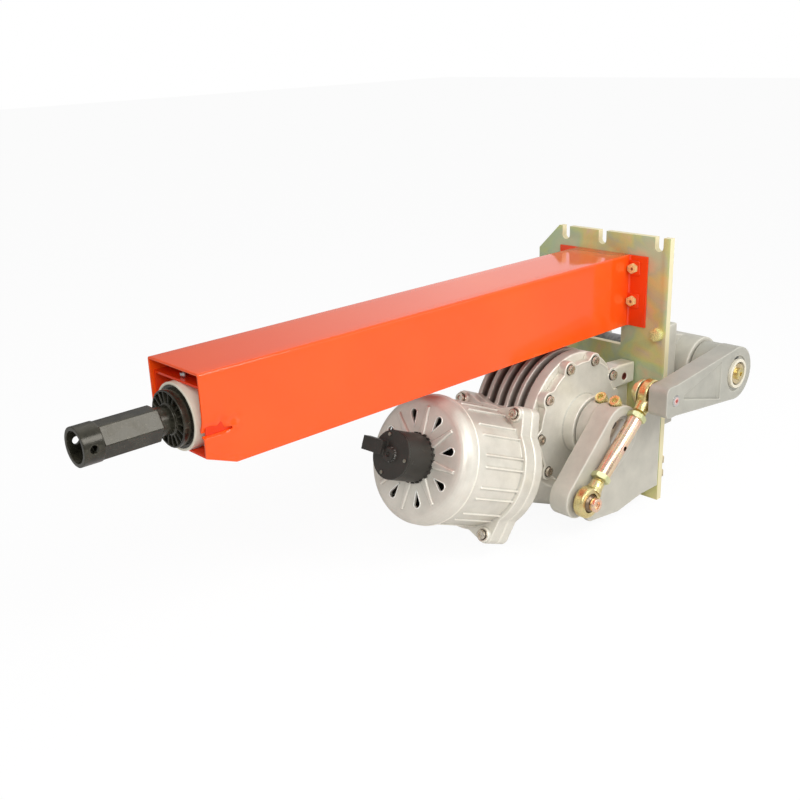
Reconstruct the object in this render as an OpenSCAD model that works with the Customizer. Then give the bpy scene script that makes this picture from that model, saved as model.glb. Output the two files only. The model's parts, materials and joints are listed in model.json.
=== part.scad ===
// Barrier gate operator: worm gear motor, crank, tie rod, lever and spring beam.
// The origin is on the rear face of the mounting plate at the beam's centreline.
// X runs out along the beam, Y across it and Z up. All lengths are millimetres.

/* [Mounting plate] */
// Thickness of the plate
plate_t = 10; // [6:1:14]
// Height of the top edge above the beam's centreline
plate_top = 74; // [68:1:90]
// Depth of the bottom edge below the beam's centreline
plate_bottom = 322; // [316:1:340]
// Reach of the edge on the lever's side
plate_right = 112; // [110:1:120]
// Reach of the other edge
plate_left = 120; // [116:1:140]
// Cut of the top corner on the far side
plate_chamfer = 38; // [20:1:44]
// Width of the open slots in the top edge
slot_w = 13.5; // [10:0.5:16]
// Depth of the open slots
slot_depth = 20; // [14:1:24]
// Half of the window's width
window_half = 36; // [24:1:40]
// Depth of the window's lower edge
window_low = 92; // [80:1:96]

/* [Beam] */
// Length of the beam in front of the plate
beam_len = 728; // [500:1:900]
// Width of the beam
beam_w = 96; // [90:1:100]
// Height of the beam's box
beam_h = 90; // [86:1:96]
// Thickness of the sheet
sheet_t = 2.5; // [2:0.1:3]
// Depth of the side walls below the floor
skirt_h = 14; // [8:1:18]
// Reach of each ear beside the beam
ear_w = 30; // [26:1:32]
// Height of the plug's axis below the beam's centreline
plug_drop = 10.4; // [8:0.1:12]

/* [Coupling plug] */
// Outer radius of the bearing sleeve
sleeve_r = 37; // [35.5:0.1:37.4]
// Radius of the plug's ribbed flange
plug_flange_r = 30.9; // [28:0.1:31.5]
// Distance across the plug's flats
plug_flats = 35; // [32:0.5:37]
// Length of the six-sided part
plug_hex_len = 66; // [50:1:80]
// Radius of the round nose
nose_r = 20.8; // [20:0.1:23]
// Length of the round nose
nose_len = 21; // [18:1:30]
// Bore of the nose
nose_bore_r = 16.5; // [14:0.1:17]
// Radius of the cross hole in the nose
nose_hole_r = 4.2; // [3:0.1:4.8]

/* [Worm gearbox] */
// Distance of the output shaft in front of the plate's rear face
out_x = 139; // [136:1:145]
// Depth of the output shaft below the beam's centreline
out_z = 172; // [170:1:176]
// Module of the worm gear
gear_module = 4; // [4:0.05:4.05]
// Teeth on the wheel
wheel_teeth = 35; // [34:1:35]
// Pitch radius of the worm
worm_pitch_r = 20; // [19:0.5:21]
// Face width of the wheel
wheel_w = 16; // [12:1:18]
// Outer radius of the wheel chamber
chamber_r = 100; // [99:1:104]
// Radius of the circle of cover screws
cover_screw_circle = 89; // [88:1:90]
// Number of cover screws
cover_screw_count = 10; // [8:1:12]
// Radius of the output shaft
out_shaft_r = 20; // [17:1:22]
// Lateral place of the worm's plane
motor_y = 8; // [6:1:9]
// Tilt of the motor above the beam's direction
motor_tilt = 22.5; // [20:0.5:24]

/* [Motor] */
// Length of the motor body in front of its flange
motor_len = 100; // [90:1:130]
// Radius of the motor body
motor_r = 81; // [76:1:82]
// Radius of the motor's flange
motor_flange_r = 87; // [85:1:88]
// Radius of the circle of motor screws
motor_screw_circle = 96; // [94:1:98]
// Depth of the domed end cap
cap_depth = 18; // [14:1:26]
// Number of vents in the cap
vent_count = 8; // [6:1:10]
// Radius of the encoder housing
encoder_r = 31.5; // [28:0.5:33]
// Length of the encoder housing
encoder_len = 46; // [36:1:60]

/* [Crank] */
// Length of the crank between its axes
crank_len = 112; // [104:1:114]
// Angle of the crank below the beam's direction at rest
crank_rest = 36.5; // [36:0.5:38]
// Radius of the crank's hub
crank_hub_r = 40; // [38:0.5:41]
// Radius of the crank's outer end
crank_end_r = 27; // [25:0.5:30]

/* [Tie rod] */
// Radius of the rod ends' rings
rod_ring_r = 21.5; // [20:0.5:23]
// Radius of the rod ends' balls
ball_r = 14; // [13:0.1:15]
// Radius of the turnbuckle
turnbuckle_r = 10.3; // [9.5:0.1:11]
// Radius of the pivot pins
pin_r = 8; // [7:0.1:8.5]

/* [Lever] */
// Length of the lever between its axes
lever_len = 158; // [150:1:162]
// Distance of the main shaft behind the plate's rear face
main_x = 66; // [64:1:72]
// Depth of the main shaft below the beam's centreline
main_z = 124; // [120:1:128]
// Radius of the main shaft
main_shaft_r = 20; // [17:0.5:22]
// Radius of the lever's hub
lever_hub_r = 39; // [36:0.5:40]
// Radius of the lever's outer end
lever_end_r = 22; // [20:0.5:23]
// Reach of the main shaft on the far side
boom_end_y = 170; // [160:1:220]

/* [Fits] */
// Radial clearance of running fits
run_gap = 0.05; // [0.02:0.01:0.08]
// Radial clearance of screws in their holes
screw_gap = 0.3; // [0.2:0.05:0.5]
// Gap between pieces that move past each other
side_gap = 0.3; // [0.3:0.05:0.5]

/* [Hidden] */
$fn = 72;

// One overrun serves every cut
over = 1;

// Screws by their thread: shank radius, head radius, head height, socket across flats
m5_r = 2.5;
m5_head_r = 4.25;
m5_head_h = 5;
m5_socket = 4;
m8_r = 4;
m8_head_r = 6.5;
m8_head_h = 8;
m8_socket = 6;
m8_low_h = 5;
m10_r = 5;
m10_head_r = 8;
m10_head_h = 10;
m10_socket = 8;
m8_nut_flats = 13;
m8_nut_h = 6.5;
m8_washer_r = 8;
washer_t = 1.5;

// Mounting plate
slot_far_y = -69;
slot_mid_y = -2.5;
slot_near_y = 94;
window_top = 30;

// Beam
beam_x = plate_t;
mouth_x = beam_x + beam_len;
skirt_z = -beam_h / 2 - skirt_h;
skirt_chamfer = 36;
ear_bolt_y = beam_w / 2 + m8_washer_r + side_gap;
ear_bolt_top = 26.7;
ear_bolt_low = 21;
slit_z = -20;
slit_len = 35;
slit_w = 2.4;
slit_end_r = 3.4;
shelf_front = 4;
shelf_t = 2.5;
shelf_len = 150;
shelf_leg = 52;
shelf_z = sleeve_r - plug_drop + side_gap + shelf_t;
sleeve_wall = 3.2;
sleeve_len = 140;
sleeve_proud = 2;
sleeve_front = mouth_x + sleeve_proud;
bracket_gap = 0.1;

// Coupling plug
plug_z = -plug_drop;
disc_r = sleeve_r - sleeve_wall - run_gap;
disc_t = 9.5;
flange_x = sleeve_front;
rib_count = 18;
rib_t = 2;
rib_depth = 8;
neck_r = 15.5;
neck_len = 15.5;
hex_x = flange_x + disc_t + neck_len;
nose_x = hex_x + plug_hex_len;
plug_end_x = nose_x + nose_len;
axle_r = 5;
hub_bore_r = 11;
bearing_w = 6;
plug_tail = 60;
disc_plate_t = 3;

// Gearbox
wheel_pitch_r = gear_module * wheel_teeth / 2;
centre_dist = wheel_pitch_r + worm_pitch_r;
wheel_tip_r = wheel_pitch_r + gear_module;
worm_tip_r = worm_pitch_r + gear_module;
tooth_root_share = 1.2;
worm_root_r = worm_pitch_r - tooth_root_share * gear_module;
cavity_r = 79;
chamber_back_y = -50;
cover_face_y = 64;
cover_t = 12;
chamber_wall = 12;
boss_r = 42;
boss_len = 18;
fin_count = 5;
fin_t = 6.5;
fin_depth = 13;
fin_pitch = 17;
bearing_shelf_t = 4.5;
tunnel_r = 43;
worm_clear = 2;
tunnel_bore_r = worm_tip_r + worm_clear;
tunnel_back = 66;
flange_start = 100;
adapter_t = 18;
motor_flange_t = 20;
screw_boss_r = 11.5;
base_reach = 62;
base_half = 48;
base_top_z = -142;
base_low_z = -250;
lug_x = 37;
lug_z = -129;
lug_r = 13;
lug_hole_r = 5.2;
lug_t = 12;
key_w = 10;
key_h = 8;
bearing_out_w = 15;
bearing_out_r = 34;
worm_shaft_r = 10;
worm_bearing_r = 23.5;
worm_bearing_w = 14;
worm_half = 40;

// Motor, by its own axis from the foot of the output shaft
body_start = flange_start + adapter_t + motor_flange_t;
body_end = flange_start + adapter_t + motor_flange_t + motor_len;
cap_face_r = 71;
cap_face = body_end + cap_depth;
cap_wall = 4;
body_wall = 5;
stator_len = 60;
rotor_r = 42;
rotor_gap = 0.6;
stator_inner_r = rotor_r + rotor_gap;
fan_r = 62;
fan_blades = 9;
encoder_start = cap_face;
encoder_end = encoder_start + encoder_len;

// Crank and rod planes
crank_in_y = 84;
crank_out_y = 132;
arm_in_y = 102;
rod_y = 144;
ring_t = 15;
ball_w = 21;
rod_in_y = rod_y - ball_w / 2;
rod_out_y = rod_y + ball_w / 2;
bx = out_x + crank_len * cos(crank_rest);
bz = -out_z - crank_len * sin(crank_rest);
cx = lever_len - main_x;
cz = -main_z;
rod_len = norm([cx - bx, cz - bz]);
rod_angle = atan2(cz - bz, cx - bx);
neck_start = 20;
nut_flats = 24;
nut_t = 8;
thread_r = 8;
clamp_back = 27.5;

// Lever and main shaft
lever_in_y = 156;
lever_out_y = 185;
lever_hub_in_y = 130;
bearing_flange_y = 112;
bearing_flange_t = 19;
bearing_top = 51;
bearing_low = 203;
barrel_r = 43;
bearing_out_y = 128;
bush_t = 4;

// Values of single pieces
ear_bolt_heights = [ear_bolt_top, -ear_bolt_low];
ear_bolt_sides = [-ear_bolt_y, ear_bolt_y];
bolt_margin = 4;
base_bolt_inset = 16;
base_bolt_y = base_half - m10_head_r - bolt_margin;
base_bolt_heights = [base_top_z - base_bolt_inset, base_low_z + base_bolt_inset];
bearing_bolt_inset = 13.5;
bearing_bolt_drop = 14;
bearing_bolt_y = plate_right - bearing_bolt_inset;
bearing_low_bolt_y = 80;
bearing_bolt_places = [for (side = [-1, 1]) each [
  [side * bearing_bolt_y, -bearing_top - bearing_bolt_drop],
  [side * bearing_low_bolt_y, -bearing_low + bearing_bolt_drop]
]];
shelf_screw_inset = 9;
shelf_screw_x = mouth_x - shelf_front - shelf_screw_inset;
shelf_x = mouth_x - shelf_front;
shelf_half = beam_w / 2 - sheet_t - bracket_gap;
tail_x = flange_x - plug_tail;
bearing_places = [tail_x + bearing_w, hex_x + bearing_w];
axle_end_x = hex_x + 2 * bearing_w + disc_plate_t;
sleeve_back = sleeve_front - sleeve_len;
motor_screw_turns = [60, 120, 240, 300];
housing_face_y = cover_face_y - cover_t;
fin_from = -8;
fin_sweep = 160;
cone_len = 44;
recess_depth = 6;
cover_screw_grip = 14;
base_bolt_grip = 22;
sleeve_floor = 8;
tail_r = 18;
lug_back = 2.5;
lug_rise = 4;
lug_peak = 7;
lug_foot_share = 0.6;
cover_r = 89;
head_sink = 4;
seal_r = 30;
seal_w = 7;
m10_flats = 17;
m10_head_t = 6.4;
m10_washer_r = 10;
shaft_back_y = chamber_back_y + bearing_shelf_t;
face_recess = 4;
shaft_end_y = crank_out_y - face_recess;
wheel_y = motor_y;
hub_half = 18;
tip_share = 0.26;
root_share = 0.5;
hub_r = 30;
web_depth = 4;
web_margin = 10;
web_gap = 2;
motor_worm_angle = 90 - motor_tilt;
lead = PI * gear_module;
worm_turns = 4;
worm_facets = 24;
worm_slices = 15;
thread_root_share = 0.56;
thread_tip_share = 0.2;
shaft_back = -worm_half - worm_bearing_w;
encoder_t = 4;
shaft_front = encoder_end - encoder_t - 2 * disc_plate_t;
shoulder_r = 14;
worm_half_len = worm_turns * lead / 2;
motor_flange_z = flange_start + adapter_t;
cap_overlap = 6;
cap_start = body_end - cap_overlap;
rib_groups = 12;
rib_spread = 5.5;
body_rib_t = 2.2;
body_rib_h = 2.4;
boss_len_front = 5;
front_boss_r = 10;
gland_drop = 20;
gland_boss = 4;
gland_z = body_start + motor_len / 2;
gland_r = 13;
gland_bore_r = 6;
gland_len = 16;
rim_r = 85;
rim_w = 7;
cap_boss_r = 22;
rear_bearing_r = 17.5;
rear_bearing_w = 11;
vent_in = 41;
vent_out = 59;
vent_r = 5;
vent_turn = -68;
rib_margin = 3;
vent_root_share = 0.3;
vent_side_share = 0.95;
stator_gap = 20;
stator_z = motor_flange_z + chamber_wall + stator_gap;
winding_r = 9;
fan_gap = 2;
fan_plate_t = 2;
fan_z = stator_z + stator_len + 2 * winding_r + fan_gap;
fan_w = 10;
fan_hub_r = 18;
encoder_lip = 3;
connector_w = 18;
connector_out = 44;
connector_len = 13;
connector_turn = 272;
connector_shift = 6;
encoder_boss_r = 9;
encoder_boss_len = 5;
encoder_screw_turns = [87, 202, 342];
encoder_screw_circle = 26;
encoder_screw_r = 1.2;
encoder_screw_len = 8;
encoder_disc_r = 21.6;
bracket_top = 150;
bracket_t = 10;
bracket_step = 40;
bracket_neck_x = 98;
bracket_neck_z = 200;
bracket_edge_x = 190;
bracket_edge_z = 250;
bracket_corner = 14;
bracket_belly_x = 110;
bracket_heel_x = 53;
bracket_low_z = 298;
bracket_belly_z = 306;
head_clear = 56;
crank_clear = 4;
pillar_r = 9;
pillar_circle = 70;
pillar_turns = [200, 234];
foot_reach = 16;
foot_w = 22;
crank_side_y = 112;
bracket_in_y = crank_side_y - bracket_t;
foot_top = 215;
bracket_bolt_y = crank_side_y - foot_w / 2;
bracket_bolt_top = 262;
bracket_bolt_low = 284;
bracket_bolt_heights = [-bracket_bolt_top, -bracket_bolt_low];
clamp_face = 27.5;
clamp_inset_in = 12;
clamp_inset_out = 13;
clamp_screw_places = [crank_in_y + clamp_inset_in, crank_out_y - clamp_inset_out];
clamp_grip = 50;
face_recess_r = 25;
slit_half = 1.5;
spot_r = 9.5;
pin_head_r = 9.5;
pin_head_h = 7;
pin_socket = 10;
spacer_r = 13;
ball_gap = 0.1;
thread_end = 62;
nut_start = 35;
shank_r = 9.5;
turn_hole_r = 3.4;
turn_start = nut_start + nut_t;
pivot_head_t = 10;
pivot_washer_r = 18;
lever_hub_out_y = 183;
pocket_depth = 4;
pocket_wall = 9;
pocket_root_share = 0.7;
pocket_tip_share = 0.3;
lever_bore_r = main_shaft_r;
lever_rim_r = 26;
lever_corner_r = 9;
lever_corner_at = lever_end_r - lever_corner_r;
boom_key_len = 18;
boom_seat = 40;
boom_seat_step = 1;
boom_seat_r = main_shaft_r - boom_seat_step;
lever_washer_r = 21.6;
lever_washer_t = 4;
bearing_in_y = 62;
web_t = 14;
link_inset = 0.3;
hub_step = 1;
cover_room_r = cover_screw_circle + screw_boss_r + side_gap;

module tube_y(r, y0, y1) {
  translate([0, y0, 0]) rotate([-90, 0, 0]) cylinder(r = r, h = y1 - y0);
}

module tube_x(r, x0, x1) {
  translate([x0, 0, 0]) rotate([0, 90, 0]) cylinder(r = r, h = x1 - x0);
}

module ring_y(outer, inner, y0, y1) {
  difference() {
    tube_y(outer, y0, y1);
    tube_y(inner, y0 - over, y1 + over);
  }
}

// An outline in X and Z pulled out along Y
module plate_y(y0, y1) {
  translate([0, y1, 0]) rotate([90, 0, 0]) linear_extrude(height = y1 - y0) children();
}

// An outline in Y and Z pulled out along X
module plate_x(x0, x1) {
  translate([x0, 0, 0]) rotate([90, 0, 90]) linear_extrude(height = x1 - x0) children();
}

module at_output() {
  translate([out_x, 0, -out_z]) children();
}

module at_main() {
  translate([-main_x, 0, -main_z]) children();
}

module at_crank_pin() {
  translate([bx, 0, bz]) children();
}

module at_lever_pin() {
  translate([cx, 0, cz]) children();
}

// The crank's own frame: X runs from the output shaft to the pin
module crank_frame() {
  at_output() rotate([0, crank_rest, 0]) children();
}

// The tie rod's own frame: X runs from the lower pin to the upper one
module rod_frame() {
  translate([bx, rod_y, bz]) rotate([0, -rod_angle, 0]) children();
}

// The motor's own frame: Z runs from the worm to the encoder
module motor_frame() {
  foot = centre_dist;
  translate([out_x + foot * sin(motor_tilt), motor_y, -out_z - foot * cos(motor_tilt)])
    rotate([0, 90 - motor_tilt, 0]) children();
}

module at_plug() {
  translate([0, 0, plug_z]) children();
}

// A socket head screw that stands on Z = 0 with its shank below
module socket_screw(r, head_r, head_h, socket, shank) {
  difference() {
    union() {
      translate([0, 0, -shank]) cylinder(r = r, h = shank);
      cylinder(r = head_r, h = head_h);
    }
    translate([0, 0, head_h / 2])
      cylinder(r = socket / 2 / cos(30), h = head_h, $fn = 6);
  }
}

// A hexagon bolt that stands on Z = 0 with a washer, its shank below
module hex_bolt(r, flats, head_h, washer_r, shank) {
  translate([0, 0, -shank]) cylinder(r = r, h = shank + washer_t);
  cylinder(r = washer_r, h = washer_t);
  translate([0, 0, washer_t]) cylinder(r = flats / 2 / cos(30), h = head_h, $fn = 6);
}

// Turns a shape that stands along Z so that it stands along +X or -X
module facing_x() {
  rotate([0, 90, 0]) children();
}

module facing_back() {
  rotate([0, -90, 0]) children();
}

// Turns a shape that stands along Z so that it stands along +Y
module facing_y() {
  rotate([-90, 0, 0]) children();
}

module open_slot(y) {
  translate([y, plate_top - slot_depth + slot_w / 2]) {
    circle(r = slot_w / 2);
    translate([-slot_w / 2, 0]) square([slot_w, slot_depth]);
  }
}

// Mounting plate of zinc-plated steel
module mounting_plate() {
  color("darkkhaki") difference() {
    plate_x(0, plate_t) difference() {
      polygon([
        [-plate_left, -plate_bottom], [plate_right, -plate_bottom], [plate_right, plate_top],
        [plate_chamfer - plate_left, plate_top], [-plate_left, plate_top - plate_chamfer]
      ]);
      for (y = [slot_far_y, slot_mid_y, slot_near_y]) open_slot(y);
      translate([-window_half, -window_low])
        square([2 * window_half, window_low - window_top]);
    }
    for (y = ear_bolt_sides, z = ear_bolt_heights)
      translate([0, y, z]) tube_x(m8_r + screw_gap, -over, plate_t + over);
    for (y = [motor_y - base_bolt_y, motor_y + base_bolt_y], z = base_bolt_heights)
      translate([0, y, z]) tube_x(m10_r + screw_gap, -over, plate_t + over);
    for (p = bearing_bolt_places)
      translate([0, p[0], p[1]]) tube_x(m10_r + screw_gap, -over, plate_t + over);
    for (z = bracket_bolt_heights) translate([0, bracket_bolt_y, z])
      tube_x(m10_r + screw_gap, -over, plate_t + over);
  }
}

module beam_side_outline() {
  polygon([
    [beam_x, beam_h / 2], [mouth_x, beam_h / 2], [mouth_x, -beam_h / 2],
    [mouth_x - skirt_chamfer, skirt_z], [beam_x, skirt_z]
  ]);
}

// Painted box beam with skirts below its floor and ears on the plate
module beam_housing() {
  color("orangered") difference() {
    union() {
      for (side = [-beam_w / 2, beam_w / 2 - sheet_t])
        plate_y(side, side + sheet_t) beam_side_outline();
      for (z = [-beam_h / 2, beam_h / 2 - sheet_t])
        translate([beam_x, -beam_w / 2, z]) cube([beam_len, beam_w, sheet_t]);
      for (side = [-beam_w / 2 - ear_w, beam_w / 2 - sheet_t])
        translate([beam_x, side, skirt_z])
          cube([sheet_t, ear_w + sheet_t, beam_h / 2 - skirt_z]);
    }
    for (y = ear_bolt_sides, z = ear_bolt_heights)
      translate([0, y, z]) tube_x(m8_r + screw_gap, beam_x - over, beam_x + sheet_t + over);
    at_plug() tube_x(sleeve_r + screw_gap, mouth_x - sleeve_len, mouth_x + over);
    translate([mouth_x - slit_len, beam_w / 2 - sheet_t - over, slit_z - slit_w / 2])
      cube([slit_len + over, sheet_t + 2 * over, slit_w]);
    translate([mouth_x - slit_len, 0, slit_z])
      tube_y(slit_end_r, beam_w / 2 - sheet_t - over, beam_w / 2 + over);
    translate([shelf_screw_x, 0, 0]) cylinder(r = m8_r, h = beam_h);
  }
}

// Bolts of the ears, with their washers
module beam_bolts() {
  color("goldenrod") for (y = ear_bolt_sides, z = ear_bolt_heights)
    translate([beam_x + sheet_t, y, z]) facing_x()
      hex_bolt(m8_r, m8_nut_flats, m8_nut_h, m8_washer_r, plate_t + sheet_t + m8_nut_h + m8_r);
}

// Nuts of the ears' bolts behind the plate
module beam_nuts() {
  color("goldenrod") for (y = ear_bolt_sides, z = ear_bolt_heights)
    translate([0, y, z]) facing_back() difference() {
      union() {
        cylinder(r = m8_washer_r, h = washer_t);
        translate([0, 0, washer_t])
          cylinder(r = m8_nut_flats / 2 / cos(30), h = m8_nut_h, $fn = 6);
      }
      translate([0, 0, -over]) cylinder(r = m8_r, h = m8_nut_h + washer_t + 2 * over);
    }
}

// Folded bracket that holds the sleeve inside the beam
module sleeve_bracket() {
  color("firebrick") difference() {
    union() {
      translate([shelf_x - shelf_len, -shelf_half, shelf_z - shelf_t])
        cube([shelf_len, 2 * shelf_half, shelf_t]);
      for (side = [-shelf_half, shelf_half - shelf_t])
        translate([shelf_x - shelf_len, side, shelf_z - shelf_leg])
          cube([shelf_len, shelf_t, shelf_leg]);
    }
    at_plug() tube_x(sleeve_r + bracket_gap, shelf_x - shelf_len - over, shelf_x + over);
    translate([shelf_screw_x, 0, 0]) cylinder(r = m8_r, h = beam_h / 2);
  }
}

// Pale nylon sleeve with a closed rear end
module bearing_sleeve() {
  color("ivory") at_plug() difference() {
    tube_x(sleeve_r, sleeve_front - sleeve_len, sleeve_front);
    tube_x(sleeve_r - sleeve_wall, sleeve_front - sleeve_len + sleeve_floor, sleeve_front + over);
    tube_x(axle_r, sleeve_front - sleeve_len - over, sleeve_front);
  }
}

// Screw that ties the shelf to the sleeve
module bracket_screw() {
  color("silver") translate([shelf_screw_x, 0, shelf_z])
    socket_screw(m5_r, m5_head_r, m5_head_h, m5_socket, shelf_t + bracket_gap);
}

// Two ball bearings between the fixed axle and the plug
module plug_bearings() {
  color("lightsteelblue") at_plug() for (x = bearing_places) difference() {
    tube_x(hub_bore_r, x, x + bearing_w);
    tube_x(axle_r, x - over, x + bearing_w + over);
  }
}

// Black nylon plug: ribbed flange, neck, six-sided part and hollow nose
module coupling_plug() {
  color("#2b2b2b") at_plug() difference() {
    union() {
      tube_x(tail_r, tail_x, flange_x + over);
      tube_x(disc_r, tail_x, tail_x + disc_t);
      tube_x(plug_flange_r, flange_x, flange_x + disc_t);
      tube_x(neck_r, flange_x, hex_x + over);
      translate([hex_x, 0, 0]) facing_x() rotate([0, 0, 30])
        cylinder(r = plug_flats / 2 / cos(30), h = plug_hex_len, $fn = 6);
      tube_x(nose_r, nose_x - over, plug_end_x);
    }
    difference() {
      tube_x(plug_flange_r - rib_t, flange_x + disc_t - rib_depth, flange_x + disc_t + over);
      tube_x(neck_r + rib_t, flange_x, flange_x + disc_t + 2 * over);
      for (i = [0 : rib_count - 1]) rotate([i * 360 / rib_count, 0, 0])
        translate([flange_x, 0, -rib_t / 2]) cube([disc_t, plug_flange_r, rib_t]);
    }
    tube_x(hub_bore_r + run_gap, tail_x - over, hex_x + 3 * bearing_w);
    tube_x(nose_bore_r, nose_x, plug_end_x + over);
    tube_x(hub_bore_r, hex_x + 4 * bearing_w, nose_x + over);
    translate([nose_x + nose_len / 2, 0, 0])
      tube_y(nose_hole_r, -nose_r - over, nose_r + over);
  }
}

// Disc that closes the sleeve round the plug
module plug_end_disc() {
  color("#333333") at_plug() difference() {
    tube_x(disc_r, flange_x - disc_plate_t, flange_x);
    tube_x(tail_r, flange_x - disc_plate_t - over, flange_x + over);
  }
}

// Fixed steel axle with its nut behind the sleeve
module plug_axle() {
  color("silver") at_plug() {
    tube_x(axle_r, sleeve_back, axle_end_x);
    translate([sleeve_back - m8_nut_h, 0, 0]) facing_x()
      cylinder(r = m8_nut_flats / 2 / cos(30), h = m8_nut_h, $fn = 6);
  }
}

// Ring that keeps the bearings on the axle
module axle_circlip() {
  color("dimgray") at_plug() difference() {
    tube_x(axle_r + 2 * washer_t, hex_x + 2 * bearing_w, hex_x + 2 * bearing_w + washer_t);
    tube_x(axle_r, hex_x + bearing_w, axle_end_x + over);
  }
}

module cover_screw_places() {
  at_output() for (i = [0 : cover_screw_count - 1]) rotate([0, -i * 360 / cover_screw_count, 0])
    translate([cover_screw_circle, 0, 0]) children();
}

module motor_screw_places() {
  motor_frame() for (a = motor_screw_turns) rotate([0, 0, a + 90])
    translate([motor_screw_circle, 0, 0]) children();
}

module motor_flange_ears() {
  for (a = motor_screw_turns) rotate(a + 90)
    link_outline(motor_flange_r - screw_boss_r, screw_boss_r, motor_screw_circle);
}

module fin_grooves() {
  at_output() rotate([90, 0, 0]) for (i = [0 : fin_count - 1])
    translate([0, 0, -chamber_back_y - fin_t - i * fin_pitch - fin_pitch + fin_t])
      rotate([0, 0, fin_from]) rotate_extrude(angle = fin_sweep)
        translate([chamber_r - fin_depth, 0]) square([fin_depth + 2 * over, fin_pitch - fin_t]);
}

// Cast gearbox housing with its base, worm tunnel and motor flange
module gearbox_housing() {
  color("silver") difference() {
    union() {
      plate_y(housing_face_y - lug_t, housing_face_y + lug_t) lug_outline();
      at_output() tube_y(chamber_r, chamber_back_y, housing_face_y);
      motor_frame() {
        translate([0, 0, -tunnel_back]) cylinder(r = tunnel_r, h = tunnel_back + flange_start);
        translate([0, 0, flange_start - cone_len])
          cylinder(r1 = tunnel_r, r2 = motor_flange_r - chamber_wall, h = cone_len);
        translate([0, 0, flange_start]) cylinder(r = motor_flange_r, h = adapter_t);
      }
      motor_frame() translate([0, 0, flange_start])
        linear_extrude(height = adapter_t) motor_flange_ears();
      translate([plate_t, motor_y - base_half, base_low_z])
        cube([base_reach, housing_face_y - motor_y + base_half, base_top_z - base_low_z]);
    }
    fin_grooves();
    difference() {
      at_output() tube_y(cover_room_r, housing_face_y, cover_face_y + boss_len);
      plate_y(housing_face_y - over, housing_face_y + lug_t) lug_outline();
    }
    at_output() {
      tube_y(cavity_r, chamber_back_y + chamber_wall, housing_face_y + 3 * lug_t);
      tube_y(bearing_out_r, chamber_back_y + bearing_shelf_t, chamber_back_y + 2 * chamber_wall);
    }
    motor_frame() {
      translate([0, 0, -worm_half]) cylinder(r = tunnel_bore_r, h = 2 * worm_half);
      translate([0, 0, -worm_half - worm_bearing_w])
        cylinder(r = worm_bearing_r, h = 2 * (worm_half + worm_bearing_w));
      translate([0, 0, worm_half]) cylinder(r = worm_shaft_r + washer_t, h = flange_start);
      translate([0, 0, flange_start + adapter_t - recess_depth])
        cylinder(r = stator_inner_r + chamber_wall, h = recess_depth + over);
    }
    cover_screw_places() {
      tube_y(m8_r, housing_face_y - cover_screw_grip, cover_face_y + over);
      tube_y(m8_head_r + screw_gap, cover_face_y - head_sink, cover_face_y + over);
    }
    motor_screw_places() translate([0, 0, flange_start - over])
      cylinder(r = m8_r, h = adapter_t + 2 * over);
    for (y = [motor_y - base_bolt_y, motor_y + base_bolt_y], z = base_bolt_heights)
      translate([0, y, z]) tube_x(m10_r, plate_t - over, plate_t + base_bolt_grip);
    translate([lug_x, 0, lug_z]) tube_y(lug_hole_r, housing_face_y - 2 * lug_t, housing_face_y + 2 * lug_t);
  }
}

module lug_outline() {
  polygon([
    [plate_t + lug_back, lug_z + lug_r + lug_rise], [plate_t + lug_back, lug_z - lug_r],
    [lug_x + 2 * lug_r, lug_z - lug_r], [out_x - chamber_r * lug_foot_share, lug_z + lug_r],
    [lug_x + lug_r, lug_z + lug_r + lug_peak]
  ]);
}

module cover_outline() {
  circle(r = cover_r);
  for (i = [0 : cover_screw_count - 1]) rotate(i * 360 / cover_screw_count)
    translate([cover_screw_circle, 0]) circle(r = screw_boss_r);
}

// Cast cover with the output boss
module gearbox_cover() {
  color("lightgray") difference() {
    union() {
      plate_y(housing_face_y, cover_face_y) difference() {
        translate([out_x, -out_z]) cover_outline();
        lug_outline();
      }
      at_output() tube_y(boss_r, housing_face_y, cover_face_y + boss_len);
    }
    at_output() {
      tube_y(out_shaft_r + run_gap, housing_face_y - over, cover_face_y + boss_len + over);
      tube_y(bearing_out_r, housing_face_y - over, housing_face_y + bearing_out_w);
      tube_y(seal_r, cover_face_y + boss_len - seal_w, cover_face_y + boss_len + over);
    }
    cover_screw_places() {
      tube_y(m8_r + screw_gap, housing_face_y - over, cover_face_y + over);
      tube_y(m8_head_r + screw_gap, cover_face_y - head_sink, cover_face_y + over);
    }
  }
}

// Screws round the cover
module cover_screws() {
  color("goldenrod") cover_screw_places() translate([0, cover_face_y - head_sink, 0]) facing_y()
    socket_screw(m8_r, m8_head_r, m8_head_h, m8_socket, cover_t - head_sink + cover_screw_grip - over);
}

// Ball bearings of the output shaft
module output_bearings() {
  color("lightsteelblue") at_output() for (y = [chamber_back_y + bearing_shelf_t, housing_face_y])
    ring_y(bearing_out_r, out_shaft_r + run_gap, y, y + bearing_out_w);
}

// Lip seal of the output shaft
module output_seal() {
  color("#222222") at_output()
    ring_y(seal_r, out_shaft_r + run_gap, cover_face_y + boss_len - seal_w, cover_face_y + boss_len);
}

// Bolts that hold the gearbox to the plate from behind
module base_bolts() {
  color("goldenrod")
    for (y = [motor_y - base_bolt_y, motor_y + base_bolt_y], z = base_bolt_heights)
      translate([0, y, z]) facing_back()
        hex_bolt(m10_r, m10_flats, m10_head_t, m10_washer_r, plate_t + base_bolt_grip - over);
}

module shaft_key_slot(y0, y1) {
  translate([-key_w / 2, y0, out_shaft_r - key_h / 2]) cube([key_w, y1 - y0, key_h]);
}

// Steel output shaft
module output_shaft() {
  color("gray") crank_frame() difference() {
    tube_y(out_shaft_r, shaft_back_y, shaft_end_y);
    shaft_key_slot(wheel_y - hub_half, wheel_y + hub_half);
    shaft_key_slot(arm_in_y, shaft_end_y + over);
  }
}

function polar(r, a) = [r * cos(a), r * sin(a)];

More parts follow.
